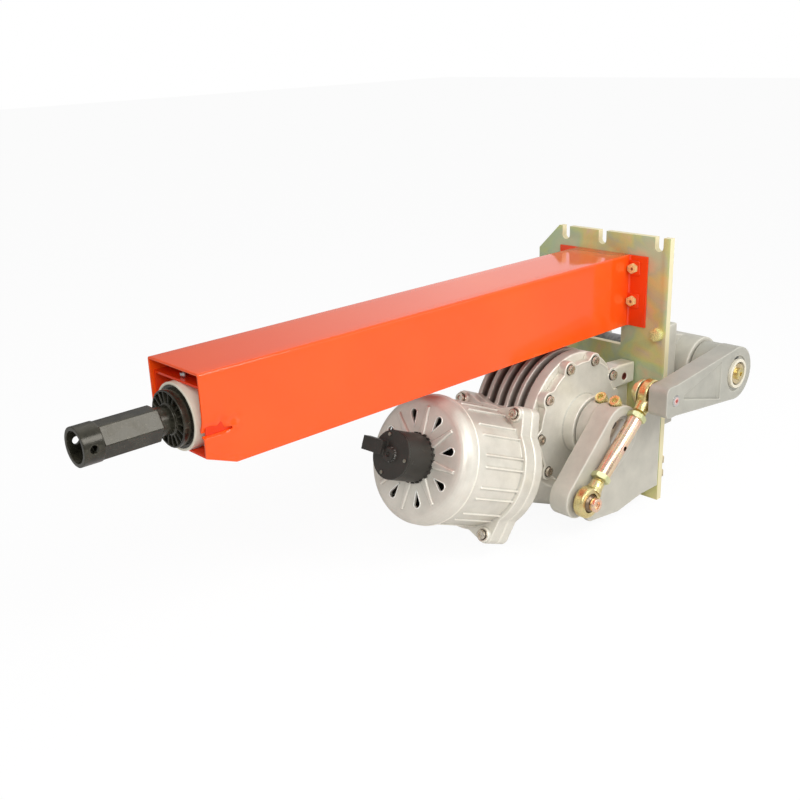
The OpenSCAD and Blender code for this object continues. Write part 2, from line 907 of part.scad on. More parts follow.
// Outline of the wheel's teeth
module wheel_outline() {
  step = 360 / wheel_teeth;
  root_r = wheel_pitch_r - tooth_root_share * gear_module;
  polygon([for (i = [0 : wheel_teeth - 1]) each [
    polar(root_r, (i + 0.5 - root_share / 2) * step), polar(wheel_tip_r, (i + 0.5 - tip_share / 2) * step),
    polar(wheel_tip_r, (i + 0.5 + tip_share / 2) * step), polar(root_r, (i + 0.5 + root_share / 2) * step)
  ]]);
}

// Bronze worm wheel with a tooth gap facing the worm at rest
module worm_wheel() {
  color("darkgoldenrod") difference() {
    union() {
      at_output() rotate([0, motor_worm_angle, 0])
        plate_y(wheel_y - wheel_w / 2, wheel_y + wheel_w / 2) wheel_outline();
      at_output() tube_y(hub_r, wheel_y - hub_half, wheel_y + hub_half);
    }
    crank_frame() {
      tube_y(out_shaft_r, shaft_back_y, shaft_end_y);
      shaft_key_slot(wheel_y - hub_half - over, wheel_y + hub_half + over);
    }
    for (side = [-wheel_w / 2 - over, wheel_w / 2 - web_depth])
      at_output() ring_y(wheel_pitch_r - web_margin, hub_r + web_gap,
        wheel_y + side, wheel_y + side + web_depth + over);
  }
}

// Keys that tie the wheel and the crank to the output shaft
module shaft_keys() {
  color("dimgray") crank_frame() {
    shaft_key_slot(wheel_y - hub_half, wheel_y + hub_half);
    shaft_key_slot(arm_in_y, shaft_end_y);
  }
}

function thread_r_at(share) =
  share < thread_tip_share / 2 ? worm_tip_r :
  share > thread_root_share / 2 ? worm_root_r :
  worm_tip_r - (worm_tip_r - worm_root_r) * (share - thread_tip_share / 2)
    / ((thread_root_share - thread_tip_share) / 2);

// Single-start worm on its sleeve
module worm() {
  worm_len = worm_turns * lead;
  color("slategray") motor_frame() difference() {
    translate([0, 0, -worm_len / 2]) rotate([0, 0, 180 - worm_turns * 180])
      linear_extrude(height = worm_len, twist = -360 * worm_turns, slices = worm_turns * worm_slices,
        $fn = worm_facets)
        polygon([for (i = [0 : worm_facets - 1]) let (s = i / worm_facets)
          polar(thread_r_at(min(s, 1 - s)), s * 360)]);
    translate([0, 0, -worm_len]) cylinder(r = worm_shaft_r, h = 2 * worm_len);
  }
}

// Steel shaft through the worm, the motor and the encoder
module worm_shaft() {
  color("lightslategray") motor_frame() {
    difference() {
      union() {
        translate([0, 0, shaft_back]) cylinder(r = worm_shaft_r, h = shaft_front - shaft_back);
        for (side = [-worm_half, worm_half_len])
          translate([0, 0, side]) cylinder(r = shoulder_r, h = worm_half - worm_half_len);
      }
      translate([0, 0, shaft_front - cap_depth]) difference() {
        cylinder(r = worm_shaft_r + over, h = cap_depth + over);
        cylinder(r = worm_shaft_r / 2, h = cap_depth + over);
      }
    }
  }
}

// Ball bearings at both ends of the worm
module worm_bearings() {
  color("lightsteelblue") motor_frame() for (z = [-worm_half - worm_bearing_w, worm_half])
    translate([0, 0, z]) difference() {
      cylinder(r = worm_bearing_r, h = worm_bearing_w);
      translate([0, 0, -over]) cylinder(r = worm_shaft_r + run_gap, h = worm_bearing_w + 2 * over);
    }
}

// Cast motor body with its flange and lengthwise ribs
module motor_body() {
  color("gainsboro") difference() {
    union() {
      motor_frame() {
        translate([0, 0, motor_flange_z]) cylinder(r = motor_flange_r, h = motor_flange_t);
        translate([0, 0, motor_flange_z]) cylinder(r = motor_r, h = cap_start - motor_flange_z);
        for (i = [0 : rib_groups - 1], side = [-rib_spread, rib_spread])
          rotate([0, 0, (i + 0.5) * 360 / rib_groups + side])
            translate([motor_r - over, -body_rib_t / 2, body_start - over])
              cube([body_rib_h + over, body_rib_t, cap_start - body_start - cap_depth]);
        translate([gland_drop, -motor_r, gland_z]) rotate([90, 0, 0]) cylinder(r = gland_r, h = gland_boss);
      }
      motor_frame() translate([0, 0, motor_flange_z])
        linear_extrude(height = motor_flange_t) motor_flange_ears();
      motor_screw_places() translate([0, 0, motor_flange_z + motor_flange_t - over])
        cylinder(r = front_boss_r, h = boss_len_front + over);
    }
    motor_frame() {
      translate([0, 0, motor_flange_z + chamber_wall])
        cylinder(r = motor_r - body_wall, h = cap_start - motor_flange_z);
      translate([0, 0, motor_flange_z - over]) cylinder(r = stator_inner_r, h = motor_flange_t);
      translate([gland_drop, -motor_r + 2 * body_wall, gland_z]) rotate([90, 0, 0])
        cylinder(r = gland_bore_r, h = 4 * body_wall);
    }
    motor_screw_places() translate([0, 0, motor_flange_z - over])
      cylinder(r = m8_r + screw_gap, h = motor_flange_t + boss_len_front + 2 * over);
  }
}

// Blank cable inlet on the motor's far side
module cable_gland() {
  color("#2b2b2b") motor_frame()
    translate([gland_drop, -motor_r - gland_boss, gland_z]) rotate([90, 0, 0]) difference() {
      union() {
        cylinder(r = gland_r - washer_t, h = gland_len / 2, $fn = 6);
        cylinder(r = gland_r - 3 * washer_t, h = gland_len);
      }
      translate([0, 0, washer_t]) cylinder(r = gland_bore_r, h = gland_len);
    }
}

module cap_profile(inset) {
  shoulder = cap_depth + body_end - cap_start - rim_w;
  polygon([
    [0, cap_start - over], [rim_r - inset, cap_start - over], [rim_r - inset, cap_start + rim_w],
    for (a = [0 : 15 : 90]) [
      cap_face_r - inset + (rim_r - cap_face_r) * cos(a),
      cap_start + rim_w + (shoulder - inset) * sin(a)
    ],
    [0, cap_face - inset]
  ]);
}

module teardrop() {
  polygon([
    [vent_in, 0], [vent_out - vent_r * vent_root_share, vent_r * vent_side_share],
    [vent_out - vent_r * vent_root_share, -vent_r * vent_side_share]
  ]);
  translate([vent_out, 0]) circle(r = vent_r);
}

// Domed end cap with vents and radial ribs
module motor_cap() {
  color("gainsboro") motor_frame() difference() {
    union() {
      difference() {
        rotate_extrude() cap_profile(0);
        rotate_extrude() cap_profile(cap_wall);
        translate([0, 0, cap_start - 2 * over]) cylinder(r = rim_r + over, h = 2 * over);
      }
      translate([0, 0, cap_face - cap_wall - rear_bearing_w])
        cylinder(r = cap_boss_r, h = rear_bearing_w + cap_wall);
      for (i = [0 : vent_count - 1]) rotate([0, 0, (i + 0.5) * 360 / vent_count + vent_turn])
        translate([encoder_r, -body_rib_t, cap_face - over])
          cube([cap_face_r - encoder_r - rib_margin, 2 * body_rib_t, over + body_rib_h]);
    }
    for (i = [0 : vent_count - 1]) rotate([0, 0, i * 360 / vent_count + vent_turn])
      translate([0, 0, cap_face - 2 * cap_wall]) linear_extrude(height = 3 * cap_wall) teardrop();
    translate([0, 0, cap_face - 2 * cap_wall - rear_bearing_w])
      cylinder(r = rear_bearing_r, h = cap_wall + rear_bearing_w);
    translate([0, 0, cap_start]) cylinder(r = worm_shaft_r + washer_t, h = 2 * cap_depth);
  }
}

// Screws of the motor's flange
module motor_screws() {
  color("goldenrod") motor_screw_places()
    translate([0, 0, motor_flange_z + motor_flange_t + boss_len_front])
      socket_screw(m8_r, m8_head_r, m8_low_h, m8_socket,
        motor_flange_t + boss_len_front + adapter_t - over);
}

// Laminated stator pressed into the body
module stator_core() {
  color("slategray") motor_frame() translate([0, 0, stator_z]) difference() {
    cylinder(r = motor_r - body_wall, h = stator_len);
    translate([0, 0, -over]) cylinder(r = stator_inner_r, h = stator_len + 2 * over);
  }
}

// End windings on both sides of the core
module stator_windings() {
  color("peru") motor_frame() for (z = [stator_z - winding_r, stator_z + stator_len + winding_r])
    translate([0, 0, z]) rotate_extrude()
      translate([(stator_inner_r + motor_r - body_wall) / 2, 0]) circle(r = winding_r);
}

// Rotor core on the shaft
module rotor_core() {
  color("dimgray") motor_frame() translate([0, 0, stator_z]) difference() {
    cylinder(r = rotor_r, h = stator_len);
    translate([0, 0, -over]) cylinder(r = worm_shaft_r, h = stator_len + 2 * over);
  }
}

// Cooling fan behind the vents
module cooling_fan() {
  color("#303030") motor_frame() translate([0, 0, fan_z]) difference() {
    union() {
      cylinder(r = fan_r, h = fan_plate_t);
      cylinder(r = fan_hub_r, h = fan_w);
      for (i = [0 : fan_blades - 1]) rotate([0, 0, i * 360 / fan_blades])
        translate([fan_hub_r - over, -fan_plate_t / 2, 0]) cube([fan_r - fan_hub_r, fan_plate_t, fan_w]);
    }
    translate([0, 0, -over]) cylinder(r = worm_shaft_r, h = fan_w + 2 * over);
  }
}

// Ball bearing in the end cap
module rear_motor_bearing() {
  color("lightsteelblue") motor_frame()
    translate([0, 0, cap_face - cap_wall - rear_bearing_w]) difference() {
      cylinder(r = rear_bearing_r, h = rear_bearing_w);
      translate([0, 0, -over]) cylinder(r = worm_shaft_r + run_gap, h = rear_bearing_w + 2 * over);
    }
}

// Black encoder housing on the end cap
module encoder_housing() {
  color("#262626") motor_frame() difference() {
    translate([0, 0, encoder_start]) cylinder(r = encoder_r, h = encoder_len - encoder_lip);
    translate([0, 0, encoder_start + encoder_lip]) cylinder(r = encoder_r - encoder_lip, h = encoder_len);
    translate([0, 0, encoder_start - over]) cylinder(r = worm_shaft_r + washer_t, h = encoder_len);
    for (a = encoder_screw_turns) rotate([0, 0, a]) translate([encoder_screw_circle, 0, 0])
      translate([0, 0, encoder_end - encoder_lip - encoder_screw_len])
        cylinder(r = encoder_screw_r, h = encoder_len);
  }
}

// Lid of the encoder with its connector block and centre boss
module encoder_lid() {
  color("#1f1f1f") motor_frame() difference() {
    union() {
      translate([0, 0, encoder_end - encoder_lip]) cylinder(r = encoder_r, h = encoder_lip);
      translate([0, 0, encoder_end - encoder_lip])
        cylinder(r = encoder_boss_r, h = encoder_boss_len + encoder_lip);
      rotate([0, 0, connector_turn])
        translate([encoder_boss_r, -connector_w / 2 - connector_shift, encoder_end - encoder_lip])
          cube([connector_out - encoder_boss_r, connector_w, connector_len]);
    }
    for (a = encoder_screw_turns) rotate([0, 0, a]) translate([encoder_screw_circle, 0, 0])
      translate([0, 0, encoder_end - 2 * encoder_lip])
        cylinder(r = encoder_screw_r + screw_gap, h = encoder_len);
    translate([0, 0, encoder_end + encoder_boss_len / 2])
      cylinder(r = m8_socket / 2 / cos(30), h = encoder_len, $fn = 6);
  }
}

// Small screws of the encoder's lid
module encoder_screws() {
  color("silver") motor_frame() for (a = encoder_screw_turns) rotate([0, 0, a])
    translate([encoder_screw_circle, 0, encoder_end]) {
      cylinder(r = 2 * encoder_screw_r, h = encoder_screw_r);
      translate([0, 0, -2 * encoder_lip]) cylinder(r = encoder_screw_r, h = 2 * encoder_lip);
    }
}

// Slotted disc on the shaft's end
module encoder_disc() {
  color("whitesmoke") motor_frame() translate([0, 0, shaft_front - disc_plate_t]) difference() {
    cylinder(r = encoder_disc_r, h = washer_t);
    translate([0, 0, -over]) cylinder(r = worm_shaft_r / 2, h = washer_t + 2 * over);
  }
}

module link_outline(r1, r2, len) {
  a = acos((r1 - r2) / len);
  in1 = r1 - link_inset;
  in2 = r2 - link_inset;
  circle(r = r1);
  translate([len, 0]) circle(r = r2);
  polygon([
    polar(in1, a), [len + in2 * cos(a), in2 * sin(a)],
    [len + in2 * cos(a), -in2 * sin(a)], polar(in1, -a)
  ]);
}

module bracket_outline() {
  polygon([
    [plate_t, -bracket_top], [plate_t + bracket_step, -bracket_top],
    [bracket_neck_x, -bracket_neck_z], [bracket_edge_x, -bracket_edge_z],
    [bracket_edge_x, bracket_corner - bracket_low_z], [bracket_edge_x - bracket_corner, -bracket_low_z],
    [bracket_belly_x, -bracket_belly_z], [bracket_heel_x, -bracket_low_z], [plate_t, -bracket_low_z]
  ]);
}

// Side plate that ties the gearbox cover to the mounting plate
module side_bracket() {
  color("darkgray") difference() {
    union() {
      plate_y(bracket_in_y, crank_side_y) bracket_outline();
      at_output() for (a = pillar_turns) rotate([0, -a, 0])
        translate([pillar_circle, 0, 0]) tube_y(pillar_r, cover_face_y, bracket_in_y + over);
      translate([plate_t, crank_side_y - foot_w, -bracket_low_z])
        cube([foot_reach, foot_w, bracket_low_z - foot_top]);
    }
    at_output() tube_y(head_clear, 0, crank_out_y);
    crank_frame() plate_y(arm_in_y - over, crank_out_y)
      link_outline(crank_hub_r + crank_clear, crank_end_r + crank_clear, crank_len);
    for (z = bracket_bolt_heights) translate([0, bracket_bolt_y, z])
      tube_x(m10_r, plate_t - over, plate_t + foot_reach + over);
  }
}

// Bolts of the side bracket's foot, from behind the plate
module side_bracket_bolts() {
  color("goldenrod") for (z = bracket_bolt_heights) translate([0, bracket_bolt_y, z])
    facing_back() hex_bolt(m10_r, m10_flats, m10_head_t, m10_washer_r, plate_t + foot_reach - over);
}

// Cast crank clamped on the output shaft
module crank_arm() {
  color("silver") crank_frame() difference() {
    union() {
      tube_y(crank_hub_r - hub_step, crank_in_y, crank_out_y);
      plate_y(arm_in_y, crank_out_y) mirror([0, 1]) link_outline(crank_hub_r, crank_end_r, crank_len);
    }
    tube_y(out_shaft_r, crank_in_y - over, crank_out_y + over);
    tube_y(face_recess_r, shaft_end_y, crank_out_y + over);
    translate([-crank_hub_r - over, crank_in_y - over, -slit_half])
      cube([crank_hub_r, crank_out_y - crank_in_y + 2 * over, 2 * slit_half]);
    for (y = clamp_screw_places) translate([-clamp_back, y, 0]) {
      translate([0, 0, -crank_hub_r]) cylinder(r = m10_r, h = 2 * crank_hub_r);
      translate([0, 0, clamp_face]) cylinder(r = spot_r, h = crank_hub_r);
    }
    shaft_key_slot(arm_in_y, shaft_end_y + over);
    translate([crank_len, 0, 0]) tube_y(pin_r, arm_in_y - over, crank_out_y + over);
  }
}

// Two screws that close the crank's clamp
module crank_clamp_screws() {
  color("goldenrod") crank_frame() for (y = clamp_screw_places)
    translate([-clamp_back, y, clamp_face])
      socket_screw(m10_r, m10_head_r, m10_head_h, m10_socket, clamp_grip);
}

// Screw that carries the rod's lower ball, with its spacer
module crank_pin() {
  color("rosybrown") at_crank_pin() {
    translate([0, rod_out_y + side_gap, 0]) facing_y()
      socket_screw(pin_r, pin_head_r, pin_head_h, pin_socket, rod_out_y + side_gap - arm_in_y - over);
    ring_y(spacer_r, pin_r, crank_out_y, rod_in_y - side_gap);
  }
}

// A slice of a sphere round the Y axis, with a bore
module round_slice(r, bore, w) {
  facing_y() rotate_extrude() intersection() {
    circle(r = r);
    translate([bore, -w / 2]) square([r, w]);
  }
}

module ball() {
  round_slice(ball_r, pin_r + run_gap, ball_w);
}

// One rod end in the rod's frame, from the ring's centre towards the rod
module rod_end() {
  difference() {
    union() {
      tube_y(rod_ring_r, -ring_t / 2, ring_t / 2);
      tube_x(shank_r, neck_start - over, nut_start);
      tube_x(thread_r, nut_start, thread_end);
    }
    round_slice(ball_r + ball_gap, 0, ring_t + 2 * over);
  }
}

module far_end() {
  translate([rod_len, 0, 0]) rotate([0, 180, 0]) children();
}

module lower_rod_end() {
  color("goldenrod") rod_frame() rod_end();
}

module upper_rod_end() {
  color("goldenrod") rod_frame() far_end() rod_end();
}

module lower_ball() {
  color("silver") rod_frame() ball();
}

module upper_ball() {
  color("silver") rod_frame() far_end() ball();
}

module lock_nut() {
  translate([nut_start, 0, 0]) facing_x() difference() {
    cylinder(r = nut_flats / 2 / cos(30), h = nut_t, $fn = 6);
    translate([0, 0, -over]) cylinder(r = thread_r, h = nut_t + 2 * over);
  }
}

module lower_lock_nut() {
  color("khaki") rod_frame() lock_nut();
}

module upper_lock_nut() {
  color("khaki") rod_frame() far_end() lock_nut();
}

// Turnbuckle with its cross hole
module turnbuckle() {
  color("rosybrown") rod_frame() difference() {
    tube_x(turnbuckle_r, turn_start, rod_len - turn_start);
    tube_x(thread_r, turn_start - over, rod_len - turn_start + over);
    translate([rod_len / 2, 0, 0]) tube_y(turn_hole_r, -turnbuckle_r - over, turnbuckle_r + over);
  }
}

// Bolt through the upper ball, from the gearbox side
module upper_pivot_bolt() {
  color("darkseagreen") rod_frame() far_end() {
    tube_y(pin_r, -ball_w / 2 - washer_t, lever_in_y - rod_y - side_gap);
    ring_y(pivot_washer_r, pin_r, -ball_w / 2 - washer_t, -ball_w / 2);
    translate([0, -ball_w / 2 - washer_t, 0]) rotate([90, 0, 0])
      cylinder(r = nut_flats / 2 / cos(30), h = pivot_head_t, $fn = 6);
  }
}

module pocket_outline() {
  translate([lever_hub_r + pocket_wall / 2, 0]) polygon([
    [0, lever_hub_r * pocket_root_share], [0, -lever_hub_r * pocket_root_share],
    [lever_len - lever_hub_r - lever_end_r - 2 * pocket_wall, -lever_end_r * pocket_tip_share],
    [lever_len - lever_hub_r - lever_end_r - 2 * pocket_wall, lever_end_r * pocket_tip_share]
  ]);
}

// Cast lever on the main shaft
module lever_arm() {
  color("darkgray") at_main() difference() {
    union() {
      tube_y(lever_hub_r - hub_step, lever_hub_in_y, lever_hub_out_y);
      plate_y(lever_in_y, lever_out_y) {
        link_outline(lever_hub_r, lever_end_r, lever_len);
        for (side = [-1, 1]) translate([lever_len + lever_end_r - lever_corner_r, side * lever_corner_at])
          circle(r = lever_corner_r);
        translate([lever_len, -lever_corner_at]) square([lever_end_r, 2 * lever_corner_at]);
        translate([lever_len, -lever_end_r])
          square([lever_end_r - lever_corner_r, 2 * lever_end_r]);
      }
    }
    tube_y(lever_bore_r, lever_hub_in_y - over, lever_out_y + over);
    tube_y(lever_rim_r, lever_hub_out_y, lever_out_y + over);
    plate_y(lever_out_y - pocket_depth, lever_out_y + over) pocket_outline();
    translate([lever_len, 0, 0]) tube_y(pin_r, lever_in_y - over, lever_out_y + over);
    translate([-key_w / 2, lever_hub_in_y - over, main_shaft_r - key_h / 2])
      cube([key_w, lever_hub_out_y - lever_hub_in_y + 2 * over, key_h]);
  }
}

// Bolt's end in the lever
module lever_pin_end() {
  color("silver") at_lever_pin() tube_y(pin_r, lever_in_y, lever_out_y + over);
}

// Main shaft behind the plate, from the lever to the boom's side
module main_shaft() {
  color("gray") at_main() difference() {
    union() {
      tube_y(main_shaft_r, boom_seat - boom_end_y, lever_hub_out_y);
      tube_y(boom_seat_r, -boom_end_y, boom_seat - boom_end_y + over);
    }
    translate([-key_w / 2, lever_hub_in_y, main_shaft_r - key_h / 2])
      cube([key_w, lever_hub_out_y - lever_hub_in_y + over, key_h]);
    tube_y(pin_r, lever_hub_out_y - clamp_grip, lever_hub_out_y + over);
    translate([-key_w / 2, -boom_end_y - over, main_shaft_r - key_h / 2])
      cube([key_w, boom_key_len, key_h]);
  }
}

// Key between the lever and the main shaft
module lever_key() {
  color("dimgray") at_main() translate([-key_w / 2, lever_hub_in_y, main_shaft_r - key_h / 2])
    cube([key_w, lever_hub_out_y - lever_hub_in_y, key_h]);
}

// Washer on the lever's hub
module lever_washer() {
  color("cornsilk") at_main()
    ring_y(lever_washer_r, pin_r, lever_hub_out_y, lever_hub_out_y + lever_washer_t);
}

// Screw in the main shaft's end
module lever_bolt() {
  color("goldenrod") at_main() translate([0, lever_hub_out_y + lever_washer_t, 0]) facing_y()
    socket_screw(pin_r, pin_head_r, m8_head_h, m10_socket, clamp_grip - 2 * lever_washer_t);
}

// One bearing housing for the main shaft, on the lever's side
module bearing_block() {
  difference() {
    union() {
      translate([-bearing_flange_t, bearing_in_y, -bearing_low])
        cube([bearing_flange_t, bearing_flange_y - bearing_in_y, bearing_low - bearing_top]);
      at_main() tube_y(barrel_r, bearing_in_y, bearing_out_y);
      translate([-main_x, bearing_in_y + web_t, -main_z - barrel_r])
        cube([main_x, bearing_flange_y - bearing_in_y - 2 * web_t, 2 * barrel_r]);
      plate_y(bearing_flange_y - web_t - web_t, bearing_flange_y - web_t) polygon([
        [0, -bearing_low + web_t], [0, -bearing_top - web_t],
        [-main_x, -main_z + barrel_r], [-main_x, -main_z - barrel_r]
      ]);
    }
    at_main() tube_y(main_shaft_r + bush_t, bearing_in_y - over, bearing_out_y + over);
    for (p = bearing_bolt_places)
      translate([0, p[0], p[1]]) tube_x(m10_r, -bearing_flange_t - over, over);
  }
}

module right_bearing_housing() {
  color("darkgray") bearing_block();
}

module left_bearing_housing() {
  color("darkgray") mirror([0, 1, 0]) bearing_block();
}

// Bronze bushes in both housings
module shaft_bushes() {
  color("darkgoldenrod") at_main() for (side = [-1, 1]) scale([1, side, 1])
    ring_y(main_shaft_r + bush_t, main_shaft_r + run_gap, bearing_in_y, bearing_out_y);
}

// Bolts of both bearing housings
module bearing_bolts() {
  color("goldenrod") for (p = bearing_bolt_places)
    translate([plate_t, p[0], p[1]]) facing_x()
      hex_bolt(m10_r, m10_flats, m10_head_t, m10_washer_r, plate_t + bearing_flange_t - over);
}

mounting_plate();
beam_housing();
beam_bolts();
beam_nuts();
sleeve_bracket();
bearing_sleeve();
bracket_screw();
plug_bearings();
coupling_plug();
plug_end_disc();
plug_axle();
axle_circlip();
gearbox_housing();
gearbox_cover();
cover_screws();
output_bearings();
output_seal();
base_bolts();
output_shaft();
worm_wheel();
shaft_keys();
worm();
worm_shaft();
worm_bearings();
motor_body();
motor_cap();
motor_screws();
cable_gland();
stator_core();
stator_windings();
rotor_core();
cooling_fan();
rear_motor_bearing();
encoder_housing();
encoder_lid();
encoder_screws();
encoder_disc();
side_bracket();
side_bracket_bolts();
crank_arm();
crank_clamp_screws();
crank_pin();
lower_rod_end();
upper_rod_end();
lower_ball();
upper_ball();
lower_lock_nut();
upper_lock_nut();
turnbuckle();
upper_pivot_bolt();
lever_arm();
lever_pin_end();
main_shaft();
lever_key();
lever_washer();
lever_bolt();
right_bearing_housing();
left_bearing_housing();
shaft_bushes();
bearing_bolts();
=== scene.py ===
"""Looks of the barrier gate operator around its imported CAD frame. Sizes are millimetres times MM."""

import json
import math

import bmesh
import bpy
from mathutils import Matrix, Quaternion, Vector


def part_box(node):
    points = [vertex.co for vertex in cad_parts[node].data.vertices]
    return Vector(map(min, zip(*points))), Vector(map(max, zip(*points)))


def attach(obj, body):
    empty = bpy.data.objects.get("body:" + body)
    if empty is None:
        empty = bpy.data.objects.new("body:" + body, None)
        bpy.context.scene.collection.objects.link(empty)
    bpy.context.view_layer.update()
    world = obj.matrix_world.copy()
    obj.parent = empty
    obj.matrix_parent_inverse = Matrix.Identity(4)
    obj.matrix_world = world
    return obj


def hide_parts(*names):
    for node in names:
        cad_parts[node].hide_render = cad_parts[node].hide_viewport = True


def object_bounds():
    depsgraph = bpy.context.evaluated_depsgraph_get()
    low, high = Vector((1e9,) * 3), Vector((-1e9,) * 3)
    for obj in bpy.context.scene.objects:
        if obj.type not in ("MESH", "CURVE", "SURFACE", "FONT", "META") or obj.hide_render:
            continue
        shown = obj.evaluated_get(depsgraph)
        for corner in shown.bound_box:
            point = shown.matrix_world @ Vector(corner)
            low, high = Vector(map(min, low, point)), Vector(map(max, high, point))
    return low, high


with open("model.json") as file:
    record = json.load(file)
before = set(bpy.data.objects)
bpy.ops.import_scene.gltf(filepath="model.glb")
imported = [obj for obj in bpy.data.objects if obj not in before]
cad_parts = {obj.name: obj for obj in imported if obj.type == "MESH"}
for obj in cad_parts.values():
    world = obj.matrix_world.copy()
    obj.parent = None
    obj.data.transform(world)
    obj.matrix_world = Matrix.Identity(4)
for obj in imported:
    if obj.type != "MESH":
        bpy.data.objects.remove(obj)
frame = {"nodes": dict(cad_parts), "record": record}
cad_low, cad_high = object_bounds()
NODES = frame["nodes"]
BODY_OF = {n: b for b, ns in frame["record"]["behaviour"]["bodies"].items() for n in ns}
SLOT_OF = {s["node"]: s["material_slot"] for s in frame["record"]["subparts"]}

MM = 0.001

# Places of the mechanism in the part's frame
OUT_X, OUT_Z = 139.0, -172.0
CRANK_LEN, CRANK_REST = 112.0, math.radians(36.5)
MAIN_X, MAIN_Z = -66.0, -124.0
LEVER_LEN = 158.0
ROD_Y = 144.0
PIN_X = OUT_X + CRANK_LEN * math.cos(CRANK_REST)
PIN_Z = OUT_Z - CRANK_LEN * math.sin(CRANK_REST)
TOP_X, TOP_Z = MAIN_X + LEVER_LEN, MAIN_Z
ROD_ANGLE = math.atan2(TOP_Z - PIN_Z, TOP_X - PIN_X)
TILT = math.radians(22.5)
MOTOR_FOOT = (OUT_X + 90 * math.sin(TILT), 8.0, OUT_Z - 90 * math.cos(TILT))
CAP_FACE = 256.0
GEARBOX_BACK, FIN_END, COVER_FACE = -50.0, 34.0, 64.0
COVER_CIRCLE, COVER_SCREWS, SCREW_LOBE = 89.0, 10, 11.5
MOTOR_CIRCLE, MOTOR_SEAT = 96.0, 143.0
MOTOR_SCREW_TURNS = (30, 150, 210, 330)
LUG_X, LUG_Z = 37.0, -129.0
EAR_BOLT_OUT, EAR_BOLT_Z = 9.4, (26.7, -21.0)
MOUTH_X = 738.0
PLUG_Z = -10.4


# Materials

def start_material(name):
    m = bpy.data.materials.new(name)
    m.use_nodes = True
    nt = m.node_tree
    coord = nt.nodes.new("ShaderNodeTexCoord")
    return m, nt, nt.nodes["Principled BSDF"], coord.outputs["Object"]


def noise(nt, vector, scale, detail=3.0, rough=0.55, stretch=(1, 1, 1), distortion=0.0):
    """Noise with its scale in features per metre."""
    mapping = nt.nodes.new("ShaderNodeMapping")
    mapping.inputs["Scale"].default_value = stretch
    nt.links.new(vector, mapping.inputs["Vector"])
    n = nt.nodes.new("ShaderNodeTexNoise")
    n.inputs["Scale"].default_value = scale
    n.inputs["Detail"].default_value = detail
    n.inputs["Roughness"].default_value = rough
    n.inputs["Distortion"].default_value = distortion
    nt.links.new(mapping.outputs["Vector"], n.inputs["Vector"])
    return n.outputs["Fac"]


def ramp(nt, fac, stops):
    """Colour stops as (place, colour), with a colour of one number for a grey."""
    r = nt.nodes.new("ShaderNodeValToRGB")
    while len(r.color_ramp.elements) < len(stops):
        r.color_ramp.elements.new(0.5)
    for e, (place, colour) in zip(r.color_ramp.elements, stops):
        e.position = place
        e.color = (*colour, 1) if isinstance(colour, tuple) else (colour, colour, colour, 1)
    nt.links.new(fac, r.inputs["Fac"])
    return r.outputs["Color"]


def mix(nt, fac, a, b, mode="MIX"):
    n = nt.nodes.new("ShaderNodeMix")
    n.data_type = "RGBA"
    n.blend_type = mode
    for key, value in ((0, fac), (6, a), (7, b)):
        if isinstance(value, bpy.types.NodeSocket):
            nt.links.new(value, n.inputs[key])
        elif key == 0:
            n.inputs[0].default_value = value
        else:
            n.inputs[key].default_value = (*value, 1)
    return n.outputs[2]


def remap(nt, fac, low, high, start=0.3, end=0.7):
    n = nt.nodes.new("ShaderNodeMapRange")
    n.inputs["From Min"].default_value = start
    n.inputs["From Max"].default_value = end
    n.inputs["To Min"].default_value = low
    n.inputs["To Max"].default_value = high
    nt.links.new(fac, n.inputs["Value"])
    return n.outputs["Result"]


def calc(nt, operation, a, b=None):
    n = nt.nodes.new("ShaderNodeMath")
    n.operation = operation
    for socket, value in zip(n.inputs, (a, b)):
        if isinstance(value, bpy.types.NodeSocket):
            nt.links.new(value, socket)
        elif value is not None:
            socket.default_value = value
    return n.outputs[0]


def vector_calc(nt, operation, a, b=None):
    """The node of a sum on vectors, with b as plain numbers."""
    n = nt.nodes.new("ShaderNodeVectorMath")
    n.operation = operation
    nt.links.new(a, n.inputs[0])
    if b is not None:
        n.inputs[1].default_value = b
    return n


def part_of(nt, vector, axis):
    n = nt.nodes.new("ShaderNodeSeparateXYZ")
    nt.links.new(vector, n.inputs[0])
    return n.outputs[axis]


def grey_of(nt, value):
    n = nt.nodes.new("ShaderNodeCombineColor")
    for i in range(3):
        nt.links.new(value, n.inputs[i])
    return n.outputs["Color"]


def bump(nt, bsdf, heights):
    """Bumps in a chain: (height, depth in metres)."""
    last = None
    for height, depth in heights:
        b = nt.nodes.new("ShaderNodeBump")
        b.inputs["Distance"].default_value = depth
        nt.links.new(height, b.inputs["Height"])
        if last is not None:
            nt.links.new(last, b.inputs["Normal"])
        last = b.outputs["Normal"]
    nt.links.new(last, bsdf.inputs["Normal"])


def edges(nt, low=0.5, high=0.56):
    """A mask that is 1 on convex edges of dense meshes."""
    g = nt.nodes.new("ShaderNodeNewGeometry")
    return remap(nt, g.outputs["Pointiness"], 0.0, 1.0, low, high)


def near_axis(nt, vector, x, z, low, high):
    """0 inside radius low and 1 outside radius high round a line along Y."""
    off = vector_calc(nt, "SUBTRACT", vector, (x * MM, 0, z * MM)).outputs[0]
    flat = vector_calc(nt, "MULTIPLY", off, (1, 0, 1)).outputs[0]
    return remap(nt, vector_calc(nt, "LENGTH", flat).outputs["Value"], 0.0, 1.0, low * MM, high * MM)


def surface(bsdf, metallic=0.0, coat=0.0, coat_rough=0.08, specular=0.5, ior=1.5):
    bsdf.inputs["Metallic"].default_value = metallic
    bsdf.inputs["Coat Weight"].default_value = coat
    bsdf.inputs["Coat Roughness"].default_value = coat_rough
    bsdf.inputs["Specular IOR Level"].default_value = specular
    bsdf.inputs["IOR"].default_value = ior


